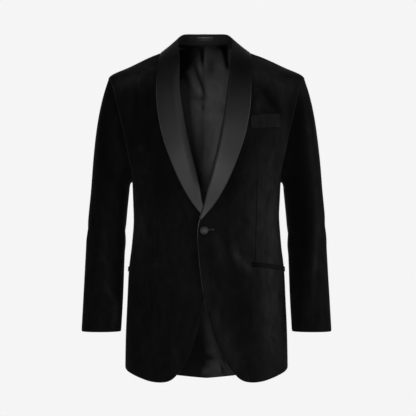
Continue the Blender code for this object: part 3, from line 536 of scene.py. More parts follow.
class JacketStage(bpy.types.PropertyGroup):
    """Camera, floor and light."""

    distance: FloatProperty(
        name="Camera distance", description="From the jacket's middle to the camera",
        default=5.0, min=1.0, max=20.0, unit="LENGTH",
    )
    view_width: FloatProperty(
        name="View width", description="Width that the picture spans at the jacket's middle",
        default=0.9693, min=0.2, max=5.0, unit="LENGTH",
    )
    eye_x: FloatProperty(
        name="Eye sideways", description="Sideways place of the camera", default=0.0035, unit="LENGTH"
    )
    eye_z: FloatProperty(name="Eye height", description="Height of the camera", default=-0.303, unit="LENGTH")
    floor_z: FloatProperty(
        name="Floor height", description="Height of the floor", default=-1.0, unit="LENGTH"
    )
    floor_radius: FloatProperty(
        name="Floor radius", description="Reach of the floor", default=2.0, min=0.5, max=10.0, unit="LENGTH"
    )
    floor_glow: FloatProperty(
        name="Floor glow", description="Brightness added to the floor so that it looks pale",
        default=0.55, min=0.0, max=1.0,
    )
    backdrop: FloatProperty(
        name="Backdrop", description="Brightness behind the jacket", default=0.913, min=0.0, max=1.0
    )
    ambient: FloatProperty(
        name="Ambient light", description="Even light from all round", default=0.05, min=0.0, max=2.0
    )


# Meshes

def straight_on(loop):
    """The loop that carries on through the six-way point at the end of a loop's edge."""
    loop = loop.link_loop_next
    for _ in range(2):
        loop = loop.link_loop_radial_next.link_loop_next
    return loop


def straight_runs(mesh):
    """Edges on the short straight runs between a wall's corners, its only points that aren't six-way."""
    corners = {vert for vert in mesh.verts if len(vert.link_edges) != 6}
    runs = set()
    for loop in [loop for corner in corners for loop in corner.link_loops]:
        run = [loop.edge]
        while loop.link_loop_next.vert not in corners and len(run) < LONGEST_RUN:
            loop = straight_on(loop)
            run.append(loop.edge)
        if len(run) < LONGEST_RUN:
            runs.update(run)
    return runs


def wall_borders(mesh, rolled):
    """Edges between a wall's broad faces and its rim: its corners' runs if rolled, or its sharp edges."""
    if rolled:
        return straight_runs(mesh)
    return {edge for edge in mesh.edges if edge.calc_face_angle(0.0) > RIM_ANGLE}


def wall_parts(mesh, rolled):
    """Faces of a wall in three lists: its two broad faces, larger first, and the rim that joins them."""
    borders = wall_borders(mesh, rolled)
    waiting = set(mesh.faces)
    regions = []
    while waiting:
        region = [waiting.pop()]
        for face in region:
            for edge in set(face.edges) - borders:
                beside = waiting.intersection(edge.link_faces)
                waiting -= beside
                region.extend(beside)
        regions.append(region)
    regions.sort(key=lambda region: -sum(face.calc_area() for face in region))
    outer, inner, *strips = regions
    if len(outer) != len(inner):
        raise RuntimeError(f"a wall's broad faces have {len(outer)} and {len(inner)} triangles")
    return outer, inner, [face for strip in strips for face in strip]


def like_edges(faces, start):
    """Edges of a grid's triangles that lie as the start does in its own, as every triangle turns alike."""
    region = set(faces)
    found = {start.face: start}
    spread = [start.face]
    for face in spread:
        loop = found[face]
        for steps in range(3):
            beyond = loop.link_loop_radial_next
            if beyond.face in region and beyond.face not in found:
                for _ in range(steps):
                    beyond = beyond.link_loop_prev
                found[beyond.face] = beyond
                spread.append(beyond.face)
            loop = loop.link_loop_next
    return {loop.edge for loop in found.values()}


def grid_diagonals(faces):
    """Diagonals of a broad face cut into a grid: the fewest like edges, each shared by two triangles."""
    return min((like_edges(faces, start) for start in faces[0].loops), key=len)


def rim_diagonals(faces):
    """Diagonals of the rim's cells: the longer of the two edges that a triangle shares along the rim."""
    region = set(faces)
    diagonals = set()
    for face in faces:
        along = [edge for edge in face.edges if region.issuperset(edge.link_faces)]
        diagonals.add(max(along, key=lambda edge: edge.calc_length()))
    return diagonals


def wall_cells(node):
    """A node's own triangles, merged and paired into grid cells that are marked as outer, inner or rim."""
    mesh = bmesh.new()
    mesh.from_mesh(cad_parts[node].data)
    bmesh.ops.remove_doubles(mesh, verts=mesh.verts, dist=MERGE_DISTANCE)
    part = mesh.faces.layers.int.new("part")
    rolled = "collar" in node
    outer, inner, rim = wall_parts(mesh, rolled)
    if facing_out(outer, node) < facing_out(inner, node) and not rolled:
        outer, inner = inner, outer
    for value, faces in ((OUTER, outer), (INNER, inner), (RIM, rim)):
        for face in faces:
            face[part] = value
    diagonals = grid_diagonals(outer) | grid_diagonals(inner) | rim_diagonals(rim)
    in_order = [edge for edge in mesh.edges if edge in diagonals]
    bmesh.ops.dissolve_edges(mesh, edges=in_order, use_verts=False)
    return mesh, part


def smooth_wall(name, node, edge_width, materials, deep_reach=0.0, extra_levels=0):
    """Subdivided wall of a node, with each point's nearness to the edge and to the outer face marked."""
    cloth = bpy.context.scene.jacket_cloth
    mesh, part = wall_cells(node)
    for face in mesh.faces:
        face.material_index = len(materials) - 1 if face[part] == INNER else 0
        face.smooth = True
    for value in (OUTER, INNER):
        faces = [face for face in mesh.faces if face[part] == value]
        bmesh.ops.inset_region(
            mesh, faces=faces, thickness=edge_width, use_boundary=True, use_even_offset=True
        )
    close_seams(mesh, part, cloth.seam_reach, deep_reach)
    mark_wall(mesh, part)
    data = bpy.data.meshes.new(name)
    mesh.to_mesh(data)
    mesh.free()
    for material in materials:
        data.materials.append(material)
    thing = bpy.data.objects.new(name, data)
    bpy.context.scene.collection.objects.link(thing)
    smoother = thing.modifiers.new("smoothing", "SUBSURF")
    smoother.levels = smoother.render_levels = cloth.levels + extra_levels
    applied = bpy.data.meshes.new_from_object(thing.evaluated_get(bpy.context.evaluated_depsgraph_get()))
    thing.modifiers.clear()
    thing.data = applied
    applied.name = name
    bpy.data.meshes.remove(data)
    return thing


def facing_out(faces, node):
    """How far a node's faces look away from the middle of the limb or body that they lie on."""
    total = 0.0
    for face in faces:
        middle = np.array([face.calc_center_median()])
        out = sleeve_outward_of(middle) if "sleeve" in node else outward_of(middle)
        total += face.normal.dot(Vector(out[0])) * face.calc_area()
    return total


def close_seams(mesh, part, reach, deep_reach=0.0):
    """Move a wall's edges out along its surface, so that neighbours meet; more where a sleeve is set in."""
    shifts = {}
    for vert in mesh.verts:
        if all(face[part] != RIM for face in vert.link_faces):
            continue
        for edge in vert.link_edges:
            if all(face[part] != RIM for face in edge.link_faces):
                way = (vert.co - edge.other_vert(vert).co).normalized()
                set_in = vert.co.z > ARMPIT_Z and way.x * vert.co.x < 0.0
                shifts[vert] = way * (deep_reach if deep_reach and set_in else reach)
    for vert, shift in shifts.items():
        vert.co += shift


def mark_wall(mesh, part):
    """Crease the rim's edges, and mark each point's nearness to the edge and to the outer face."""
    crease = mesh.edges.layers.float.new("crease_edge")
    edge_layer = mesh.verts.layers.float.new("near_edge")
    outer_layer = mesh.verts.layers.float.new("on_outer")
    for edge in mesh.edges:
        parts = [face[part] for face in edge.link_faces]
        if parts == [RIM, RIM]:
            edge[crease] = 1.0 if edge.calc_face_angle(0.0) > CORNER_ANGLE else 0.0
        elif RIM in parts:
            edge[crease] = 1.0
    for vert in mesh.verts:
        parts = {face[part] for face in vert.link_faces}
        vert[edge_layer] = 1.0 if RIM in parts else 0.0
        vert[outer_layer] = 1.0 if OUTER in parts else 0.0


def read_points(thing):
    """A piece's points as an array."""
    points = np.zeros(len(thing.data.vertices) * 3)
    thing.data.vertices.foreach_get("co", points)
    return points.reshape(-1, 3)


def write_points(thing, points):
    """Put changed points back into a piece."""
    thing.data.vertices.foreach_set("co", points.ravel())
    thing.data.update()


def push_out(thing, points, outward, heights):
    """Put points back into a piece, each moved out by its own height."""
    write_points(thing, points + outward * heights[:, None])


def read_mark(thing, name):
    """One of a piece's per-point marks as an array."""
    values = np.zeros(len(thing.data.vertices))
    thing.data.attributes[name].data.foreach_get("value", values)
    return values


def write_mark(thing, name, values):
    """Give each of a piece's points a value under a name."""
    attributes = thing.data.attributes
    mark = attributes[name] if name in attributes else attributes.new(name, "FLOAT", "POINT")
    mark.data.foreach_set("value", values.astype(np.float32))


def smooth_step(value, start, end):
    """0 at start, 1 at end, eased between, in either direction."""
    t = np.clip((value - start) / (end - start), 0.0, 1.0)
    return t * t * (3.0 - 2.0 * t)


def outward_of(points, middle_x=0.0, axes=BODY_AXES):
    """Level directions out from an oval of given half width and half depth."""
    out = np.zeros_like(points)
    out[:, 0] = (points[:, 0] - middle_x) / axes[0] ** 2
    out[:, 1] = points[:, 1] / axes[1] ** 2
    return out / np.maximum(np.linalg.norm(out, axis=1, keepdims=True), LEAST_LENGTH)


def sleeve_outward_of(points):
    """Level directions out from the middle of the sleeve on the points' own side."""
    middle_x = SLEEVE_MIDDLE_X if points[:, 0].mean() > 0.0 else -SLEEVE_MIDDLE_X
    return outward_of(points, middle_x, SLEEVE_AXES)


def patch_weight(points, outward, patch):
    """How strongly a long soft patch covers points, fading where the cloth turns from the way it faces."""
    way = np.array(FACING[patch.faces])
    across = points[:, 1] if patch.faces in SIDES else points[:, 0]
    lean = math.radians(patch.lean_degrees)
    aside = across - patch.across
    above = points[:, 2] - patch.z
    over = aside * math.cos(lean) + above * math.sin(lean)
    along = above * math.cos(lean) - aside * math.sin(lean)
    toward = np.clip(outward @ way, 0.0, 1.0)
    return toward * np.exp(-((over / patch.half_width) ** 2) - (along / patch.half_length) ** 2)


def fold_heights(points, outward, folds):
    """Sum of the soft folds at given points."""
    total = np.zeros(len(points))
    for fold in folds:
        total += fold.height * patch_weight(points, outward, fold)
    return total * bpy.context.scene.jacket_cloth.fold_gain


def write_tones(thing, outward, tones, extra=0.0):
    """Give each point of a piece its tone, which scales its colour: 1 plus the patches that cover it, which
    hold brushed pile, print, and painted light and shade.
    """
    points = read_points(thing)
    total = np.ones(len(points)) + extra
    for tone in tones:
        total += tone.amount * patch_weight(points, outward, tone)
    if len(thing.data.materials) > 1:
        total = np.where(read_mark(thing, "on_outer") < ON_OUTER, INSIDE_TONE, total)
    write_mark(thing, "tone", np.maximum(total, LEAST_TONE))


def sink_edges(thing, points, outward, depth):
    """Round a wall's outer face down to its edge."""
    near_edge = read_mark(thing, "near_edge") * read_mark(thing, "on_outer")
    return points - outward * (depth * near_edge**2)[:, None]


def surface_of(name):
    """Search tree of a finished piece's faces."""
    return BVHTree.FromObject(bpy.data.objects[name], bpy.context.evaluated_depsgraph_get())


def seat_edge(thing, others, reach):
    """Bring a piece's edge by the armhole onto other pieces within reach, so that no light shows between."""
    trees = [surface_of(name) for name in others]
    points = read_points(thing)
    at_edge = (read_mark(thing, "near_edge") > AT_EDGE) & (points[:, 2] > ARMPIT_Z)
    for i in np.flatnonzero(at_edge):
        point = Vector(points[i])
        nearest = [tree.find_nearest(point) for tree in trees]
        spot, normal, _, distance = min(nearest, key=lambda found: found[3])
        if distance < reach and (point - spot).dot(normal) > 0.0:
            points[i] = spot - normal * SEAT_OVERLAP
    write_points(thing, points)


def beside_armhole(side):
    """Names of the front and the back beside one side's armhole."""
    return [f"velvet_{panel}_{side}" for panel in ("front", "back")]


def finish_piece(thing, node):
    """Ride on the body and stand for the node, which is hidden."""
    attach(thing, BODY)
    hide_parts(node)


def drape_on_body(thing):
    """Move a piece that lies on the body with the body's soft folds."""
    points = read_points(thing)
    outward = outward_of(points)
    push_out(thing, points, outward, fold_heights(points, outward, BODY_FOLDS))


def make_panel(node, materials, slot, depth=None, edge_width=None, tone=0.0, edge_highlight=0.0):
    """Velvet or satin piece on the body: its smooth wall, its edges, the body's folds, and its tones, with
    painted highlights along the armhole seams and the collar's edge.
    """
    cloth = bpy.context.scene.jacket_cloth
    edge_width = cloth.seam_width if edge_width is None else edge_width
    depth = cloth.seam_depth if depth is None else depth
    thing = smooth_wall(f"{slot}_{node}", node, edge_width, materials)
    points = read_points(thing)
    outward = outward_of(points)
    near_edge = read_mark(thing, "near_edge") ** 2
    at_armhole = (points[:, 2] > ARMPIT_Z) & (np.abs(points[:, 0]) > ARMHOLE_X) & (slot == "velvet")
    points = sink_edges(thing, points, outward, np.where(at_armhole, 0.0, depth))
    push_out(thing, points, outward, fold_heights(points, outward, BODY_FOLDS))
    # Painted highlight along the collar's edge, growing from the neck down.
    rolled = edge_highlight * smooth_step(points[:, 2], EDGE_HIGHLIGHT_TOP, EDGE_HIGHLIGHT_FULL)
    # Painted highlight along the armhole seams, stronger on one side than the other.
    shares = np.where(points[:, 0] > 0.0, ARMHOLE_HIGHLIGHT_SHARE["left"], ARMHOLE_HIGHLIGHT_SHARE["right"])
    extra = tone + near_edge * np.where(at_armhole, cloth.armhole_highlight * shares, rolled)
    write_tones(thing, outward, PANEL_TONES[slot], extra)
    finish_piece(thing, node)
    return thing


# Materials

def add_node(tree, kind, values=None, **modes):
    """New shader node of a tree, with its modes and then the values of its named inputs set."""
    node = tree.nodes.new(f"ShaderNode{kind}")
    for label, mode in modes.items():
        setattr(node, label, mode)
    for label, value in (values or {}).items():
        node.inputs[label].default_value = value
    return node


def wire(tree, *rows):
    """Link a tree's nodes: each row is a node and its output, then a node and its input."""
    for source, output, target, socket in rows:
        tree.links.new(source.outputs[output], target.inputs[socket])


def new_group(name, inputs, outputs):
    """Shader node group with named sockets: (name, type, default) rows in, (name, type) rows out."""
    group = bpy.data.node_groups.new(name, "ShaderNodeTree")
    for label, kind, default in inputs:
        socket = group.interface.new_socket(label, in_out="INPUT", socket_type=kind)
        socket.default_value = default
    for label, kind in outputs:
        group.interface.new_socket(label, in_out="OUTPUT", socket_type=kind)
    return group, group.nodes.new("NodeGroupInput"), group.nodes.new("NodeGroupOutput")


def cloth_marks_group():
    """Group that puts out soft marks, as where a hand has brushed cloth: a tone and a height."""
    if "Cloth Marks" in bpy.data.node_groups:
        return bpy.data.node_groups["Cloth Marks"]
    group, start, end = new_group(
        "Cloth Marks",
        [
            ("Vector", "NodeSocketVector", (0.0, 0.0, 0.0)),
            ("Scale", "NodeSocketFloat", 20.0),
            ("Fine Scale", "NodeSocketFloat", 700.0),
            ("Low", "NodeSocketFloat", 0.7),
            ("High", "NodeSocketFloat", 1.4),
        ],
        [("Tone", "NodeSocketFloat"), ("Height", "NodeSocketFloat")],
    )
    broad = add_node(group, "TexNoise", {"Detail": 4.0, "Roughness": 0.62, "Distortion": 0.5})
    fine = add_node(group, "TexNoise", {"Detail": 2.0})
    spread = add_node(group, "MapRange", {"From Min": 0.30, "From Max": 0.70})
    wire(
        group,
        (start, "Vector", broad, "Vector"),
        (start, "Scale", broad, "Scale"),
        (start, "Vector", fine, "Vector"),
        (start, "Fine Scale", fine, "Scale"),
        (broad, "Fac", spread, "Value"),
        (start, "Low", spread, "To Min"),
        (start, "High", spread, "To Max"),
        (spread, "Result", end, "Tone"),
        (fine, "Fac", end, "Height"),
    )
    return group


def cloth_material(name, colour, roughness, stretch, marks, bump, specular, sheen=None, matt=None):
    """Cloth of one colour with brushed marks and a fine surface. Bump is its strength and distance, sheen its
    weight, roughness and tint, and matt the roughness where a piece's own matt mark is full."""
    if name in bpy.data.materials:
        return bpy.data.materials[name]
    material = bpy.data.materials.new(name)
    material.use_nodes = True
    tree = material.node_tree
    shader = tree.nodes["Principled BSDF"]
    place = add_node(tree, "TexCoord")
    mapping = add_node(tree, "Mapping", {"Scale": stretch})
    group = add_node(tree, "Group", marks, node_tree=cloth_marks_group())
    # The piece's tone mark scales the colour; on most pieces it carries painted light and shade as well as the
    # pile's tone.
    tone = add_node(tree, "Attribute", attribute_name="tone")
    both = add_node(tree, "Math", operation="MULTIPLY")
    tint = add_node(
        tree, "Mix", {"Factor": 1.0, "A": (*colour, 1.0)}, data_type="RGBA", blend_type="MULTIPLY"
    )
    relief = add_node(tree, "Bump", {"Strength": bump[0], "Distance": bump[1]})
    wire(
        tree,
        (place, "Object", mapping, "Vector"),
        (mapping, "Vector", group, "Vector"),
        (group, "Tone", both, 0),
        (tone, "Fac", both, 1),
        (both, "Value", tint, "B"),
        (tint, "Result", shader, "Base Color"),
        (group, "Height", relief, "Height"),
        (relief, "Normal", shader, "Normal"),
    )
    shader.inputs["Roughness"].default_value = roughness
    shader.inputs["Specular IOR Level"].default_value = specular
    if matt:
        dulled = add_node(tree, "Attribute", attribute_name="matt")
        spread = add_node(tree, "MapRange", {"To Min": roughness, "To Max": matt})
        wire(tree, (dulled, "Fac", spread, "Value"), (spread, "Result", shader, "Roughness"))
    if sheen:
        shader.inputs["Sheen Weight"].default_value = sheen[0]
        shader.inputs["Sheen Roughness"].default_value = sheen[1]
        shader.inputs["Sheen Tint"].default_value = (*sheen[2], 1.0)
    return material


def velvet_material():
    """Black pile that lights up where it is seen edge on."""
    finish = bpy.context.scene.jacket_finish
    return cloth_material(
        "velvet_pile", finish.velvet, roughness=0.95, stretch=(1.0, 1.0, 0.45),
        marks={"Scale": 48.0, "Fine Scale": 900.0, "Low": 0.58, "High": 1.46}, bump=(0.35, 0.0006),
        specular=0.10, sheen=(0.22, 0.35, finish.velvet_sheen),
    )


def shaded_jet_material():
    """The same pile brushed the other way, on the left pocket's lips, made darker with less sheen as painted
    shade.
    """
    finish = bpy.context.scene.jacket_finish
    return cloth_material(
        "velvet_pocket_lip_shaded", [JET_SHADE * value for value in finish.velvet], roughness=0.95,
        stretch=(0.45, 1.0, 1.0), marks={"Scale": 40.0, "Fine Scale": 900.0, "Low": 0.6, "High": 1.3},
        bump=(0.35, 0.0006), specular=0.05, sheen=(0.25, 0.38, finish.velvet_sheen),
    )


def satin_material():
    """Smooth black satin of the collar, the button and the front edge, matt where it rolls."""
    finish = bpy.context.scene.jacket_finish
    return cloth_material(
        "collar_satin", finish.satin, roughness=0.40, stretch=(1.0, 1.0, 0.6),
        marks={"Scale": 14.0, "Fine Scale": 1400.0, "Low": 0.85, "High": 1.15}, bump=(0.10, 0.0002),
        specular=0.5, sheen=(0.05, 0.3, finish.velvet_sheen), matt=0.95,
    )


def stand_material():
    """The satin's matt side, on the inside of the collar's stand."""
    finish = bpy.context.scene.jacket_finish
    return cloth_material(
        "stand_matt", finish.satin, roughness=0.75, stretch=(1.0, 1.0, 0.6),
        marks={"Scale": 30.0, "Fine Scale": 1400.0, "Low": 0.75, "High": 1.30}, bump=(0.15, 0.0002),
        specular=0.32,
    )


def lining_material():
    """Soft lining with a little lustre, matt at the hem where its painted shade is darkest."""
    finish = bpy.context.scene.jacket_finish
    return cloth_material(
        "lining_twill", finish.lining, roughness=0.38, stretch=(1.0, 1.0, 0.7),
        marks={"Scale": 24.0, "Fine Scale": 1600.0, "Low": 0.75, "High": 1.25}, bump=(0.12, 0.0002),
        specular=0.09, matt=0.95,
    )


def label_material():
    """Plain woven tape."""
    finish = bpy.context.scene.jacket_finish
    return cloth_material(
        "label_tape", finish.label, roughness=0.5, stretch=(1.0, 1.0, 1.0),
        marks={"Scale": 60.0, "Fine Scale": 2500.0, "Low": 0.9, "High": 1.1}, bump=(0.2, 0.0002),
        specular=0.25,
    )


# Small pieces

def cut_dart(thing, side):
    """Stitched line of a front dart: three cuts in the front's outer face, the middle one sunk and darkened as
    painted shade.
    """
    cloth = bpy.context.scene.jacket_cloth
    sign = 1.0 if side == "left" else -1.0
    top = Vector((sign * DART_TOP[0], 0.0, DART_TOP[1]))
    foot = Vector((sign * DART_FOOT[0], 0.0, DART_FOOT[1]))
    across = (top - foot).cross(FACING["back"]).normalized()

    def beside(point, reach):
        """Whether a point lies between the dart's ends and within reach of its line."""
        return foot.z < point.z < top.z and abs((point - foot).dot(across)) < reach

    mesh = bmesh.new()
    mesh.from_mesh(thing.data)
    tone = mesh.verts.layers.float["tone"]
    for shift in (-cloth.dart_width, 0.0, cloth.dart_width):
        near = [
            face for face in mesh.faces
            if face.normal.y < 0.0 and beside(face.calc_center_median(), DART_REACH)
        ]
        edges = dict.fromkeys(edge for face in near for edge in face.edges)
        verts = dict.fromkeys(vert for face in near for vert in face.verts)
        bmesh.ops.bisect_plane(
            mesh, geom=[*near, *edges, *verts], dist=CUT_DISTANCE, plane_co=foot + across * shift,
            plane_no=across,
        )
    for vert in mesh.verts:
        if vert.normal.y < 0.0 and beside(vert.co, MERGE_DISTANCE):
            share = (vert.co.z - foot.z) / (top.z - foot.z)
            vert.co.y += cloth.dart_depth * min(1.0, DART_TAPER * (1.0 - share), DART_TAPER * share)
            # Painted shade: the sunk line's colour is darkened, more on the left front.
            vert[tone] *= DART_SHADE[side]
    mesh.to_mesh(thing.data)
    mesh.free()


def lay_on(thing, carrier):
    """Move each point of a flat piece straight back until it lies on a carrier, keeping its own relief."""
    tree = surface_of(carrier)
    points = read_points(thing)
    for i, point in enumerate(points):
        hit = tree.ray_cast(Vector((point[0], IN_FRONT_Y, point[2])), FACING["back"])[0]
        if hit is None:
            raise RuntimeError(f"{thing.name} reaches past {carrier}")
        points[i, 1] = hit.y + point[1]
    write_points(thing, points)


def axis_of(node):
    """Middle of a turned node and its thin direction, toward the front."""
    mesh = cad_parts[node].data
    points = np.array([vert.co for vert in mesh.vertices])
    middle = (points.min(0) + points.max(0)) / 2
    axis = np.linalg.svd(points - points.mean(0))[2][2]
    return Vector(middle), Vector(axis if axis[1] < 0 else -axis)


def close_shape(mesh):
    """Merge a new shape's doubled points and turn its faces outwards."""
    bmesh.ops.remove_doubles(mesh, verts=mesh.verts, dist=MERGE_DISTANCE)
    bmesh.ops.recalc_face_normals(mesh, faces=mesh.faces)


def spin_round(mesh, geometry, steps):
    """Turn a profile once round the upright axis."""
    bmesh.ops.spin(
        mesh, geom=geometry, cent=(0, 0, 0), axis=(0, 0, 1), angle=2 * math.pi, steps=steps, use_merge=True
    )
    close_shape(mesh)


def new_piece(name, mesh, material):
    """Object from a bmesh, smooth, with one material."""
    for face in mesh.faces:
        face.smooth = True
    data = bpy.data.meshes.new(name)
    mesh.to_mesh(data)
    mesh.free()
    data.materials.append(material)
    thing = bpy.data.objects.new(name, data)
    bpy.context.scene.collection.objects.link(thing)
    write_tones(thing, np.zeros((len(data.vertices), 3)), ())
    return thing


def new_tube(name, path, radii, material):
    """Round cord through a path of points, with its own radius at each."""
    curve = bpy.data.curves.new(name, "CURVE")
    curve.dimensions = "3D"
    curve.bevel_depth = 1.0
    curve.bevel_resolution = 3
    curve.use_fill_caps = True
    spline = curve.splines.new("NURBS")
    spline.points.add(len(path) - 1)
    for point, place, radius in zip(spline.points, path, radii):
        point.co = (*place, 1.0)
        point.radius = radius
    spline.order_u = 4
    spline.use_endpoint_u = True
    spline.resolution_u = 4
    drawn = bpy.data.objects.new(name, curve)
    bpy.context.scene.collection.objects.link(drawn)
    data = bpy.data.meshes.new_from_object(drawn.evaluated_get(bpy.context.evaluated_depsgraph_get()))
    bpy.data.objects.remove(drawn)
    bpy.data.curves.remove(curve)
    mesh = bmesh.new()
    mesh.from_mesh(data)
    bpy.data.meshes.remove(data)
    close_shape(mesh)
    return new_piece(name, mesh, material)


# Operators

class JACKET_OT_body(bpy.types.Operator):
    """Make the fronts, side bodies and backs"""

    bl_idname = "jacket.body"
    bl_label = "Body panels"

    def execute(self, context):
        materials = [velvet_material(), lining_material()]
        for side in SIDES:
            for panel in ("front", "side", "back"):
                thing = make_panel(f"{panel}_{side}", materials, "velvet")
                if panel == "front":
                    cut_dart(thing, side)
            seat_edge(bpy.data.objects[f"velvet_side_{side}"], beside_armhole(side), SIDE_SEAT_REACH)
        return {"FINISHED"}


class JACKET_OT_sleeves(bpy.types.Operator):
    """Make the top and under sleeves"""

    bl_idname = "jacket.sleeves"
    bl_label = "Sleeves"

    def execute(self, context):
        cloth = context.scene.jacket_cloth
        materials = [velvet_material(), lining_material()]
        for side in SIDES:
            for half in ("top", "under"):
                node = f"{half}_sleeve_{side}"
                thing = smooth_wall(f"velvet_{node}", node, cloth.seam_width, materials, cloth.set_in_reach)
                points = read_points(thing)
                outward = sleeve_outward_of(points)
                points = sink_edges(thing, points, outward, cloth.seam_depth)
                below_cap = smooth_step(points[:, 2], SLEEVE_FOLDS_TOP, SLEEVE_FOLDS_FULL)
                push_out(thing, points, outward, fold_heights(points, outward, SLEEVE_FOLDS) * below_cap)
                seat_edge(thing, [f"velvet_side_{side}"], SLEEVE_SEAT_REACH)
                seat_edge(thing, beside_armhole(side), SLEEVE_SEAT_REACH)
                write_tones(thing, outward, SLEEVE_PILE_AND_PAINTED_LIGHT, SLEEVE_TONE)
                finish_piece(thing, node)
        return {"FINISHED"}


class JACKET_OT_collar(bpy.types.Operator):
    """Make the two halves of the shawl collar"""

    bl_idname = "jacket.collar"
    bl_label = "Shawl collar"

    def execute(self, context):
        cloth = context.scene.jacket_cloth
        for side in SIDES:
            thing = make_panel(
                f"shawl_collar_{side}", [satin_material()], "satin", cloth.trim_depth, cloth.collar_edge,
                edge_highlight=cloth.collar_edge_highlight * COLLAR_HIGHLIGHT_SHARE[side],
            )
            self.round_roll(thing, cloth.roll_width * ROLL_SHARE[side])
            thing.data.materials.append(stand_material())
            for face in thing.data.polygons:
                faces_in = face.normal.x * face.center.x + face.normal.y * face.center.y < 0.0
                if faces_in and face.center.y > STAND_FROM_Y:
                    face.material_index = 1
        return {"FINISHED"}

    def round_roll(self, thing, width):
        """Bend the lapel back toward its roll, so that it turns away softly at the neck opening."""
        cloth = bpy.context.scene.jacket_cloth
        points = read_points(thing)
        across = np.abs(points[:, 0])
        lapel = (points[:, 1] < 0.0) & (points[:, 2] < ROLL_TOP)
        levels = np.linspace(points[:, 2].min(), ROLL_TOP, ROLL_LEVELS)
        step = levels[1] - levels[0]
        edge = [across[lapel & (np.abs(points[:, 2] - level) < step)].min() for level in levels]
        inward = np.clip(1.0 - (across - np.interp(points[:, 2], levels, edge)) / width, 0.0, 1.0)
        below_neck = smooth_step(points[:, 2], ROLL_TOP, ROLL_FULL)
        above_foot = smooth_step(points[:, 2], ROLL_FOOT, ROLL_ALL)
        turned = np.where(lapel, inward * below_neck * above_foot, 0.0)
        points[:, 1] += cloth.roll_depth * turned**2
        write_points(thing, points)
        write_mark(thing, "matt", turned)


class JACKET_OT_lining(bpy.types.Operator):
    """Make the two halves of the back lining with their wrinkles, and with painted light and shade that
    includes dark spots for puckers
    """

    bl_idname = "jacket.lining"
    bl_label = "Back lining"

    def execute(self, context):
        cloth = context.scene.jacket_cloth
        for side in SIDES:
            node = f"back_lining_{side}"
            thing = smooth_wall(
                f"lining_{node}", node, cloth.seam_width, [lining_material()], extra_levels=1
            )
            drape_on_body(thing)
            points = read_points(thing)
            outward = outward_of(points)
            at_neck = smooth_step(points[:, 2], LINING_NECK_LOW, LINING_NECK_HIGH)
            inward = LINING_CLEAR + LINING_NECK_CLEAR * at_neck + fold_heights(points, outward, LINING_FOLDS)
            points -= outward * inward[:, None]
            points[:, 0] -= LINING_SEAM_SHIFT * np.exp(-((points[:, 0] / LINING_SEAM_SPREAD) ** 2))
            foot = points[:, 2].min()
            points[:, 2] -= LINING_HEM_DROP * smooth_step(points[:, 2], foot + LINING_HEM_BAND, foot)
            write_points(thing, points)
            self.raise_top(thing)
            at_hem = smooth_step(points[:, 2], LINING_MATT_TOP, LINING_MATT_FULL)
            # Painted light and shade: the patches, and each half made lighter or darker as a whole, which
            # fades out toward the hem.
            write_tones(thing, outward, LINING_PAINTED_LIGHT, LINING_HALF_PAINTED_LIGHT[side] * (1.0 - at_hem))
            dark = np.clip(1.0 - read_mark(thing, "tone") / LINING_MATT_BELOW, 0.0, 1.0)
            write_mark(thing, "matt", LINING_MATT * at_hem * dark)
            finish_piece(thing, node)
        return {"FINISHED"}

    def raise_top(self, thing):
        """Draw the lining's top edge up over the foot of the collar's stand."""
        trees = [surface_of(f"satin_shawl_collar_{side}") for side in SIDES]
        points = read_points(thing)
        behind = read_mark(thing, "on_outer")
        top = points[:, 2].max()
        points[:, 2] += LINING_TOP_RISE * smooth_step(points[:, 2], top - LINING_TOP_BAND, top)
        for i in np.flatnonzero(points[:, 2] > top - LINING_TOP_RISE):
            start = Vector((points[i, 0], NECK_MIDDLE_Y, points[i, 2]))
            for tree in trees:
                hit = tree.ray_cast(start, FACING["back"])[0]
                if hit and hit.y > STAND_NEAREST_Y:
                    points[i, 1] = min(points[i, 1], hit.y - LINING_STAND_CLEAR + LINING_WALL * behind[i])
        write_points(thing, points)


class JACKET_OT_pockets(bpy.types.Operator):
    """Make the breast welt and the lips of the hip pockets"""

    bl_idname = "jacket.pockets"
    bl_label = "Pockets"

    def execute(self, context):
        cloth = context.scene.jacket_cloth
        trim = (cloth.trim_depth, cloth.trim_width)
        # The welt's whole tone is painted light: its colour is lighter than the front around it.
        welt = make_panel("breast_welt", [velvet_material()], "velvet", *trim, tone=WELT_PAINTED_LIGHT)
        points = read_points(welt)
        low = points[:, 2].min()
        high = points[:, 2].max()
        points[:, 1] -= cloth.welt_stand * (points[:, 2] - low) / (high - low)
        write_points(welt, points)
        for side in SIDES:
            for lip in ("upper", "lower"):
                # The left pocket's lips take the darker copy of the pile, which paints their shade.
                material = shaded_jet_material() if side == "left" else velvet_material()
                make_panel(f"hip_jet_{lip}_{side}", [material], "velvet", *trim)
        return {"FINISHED"}


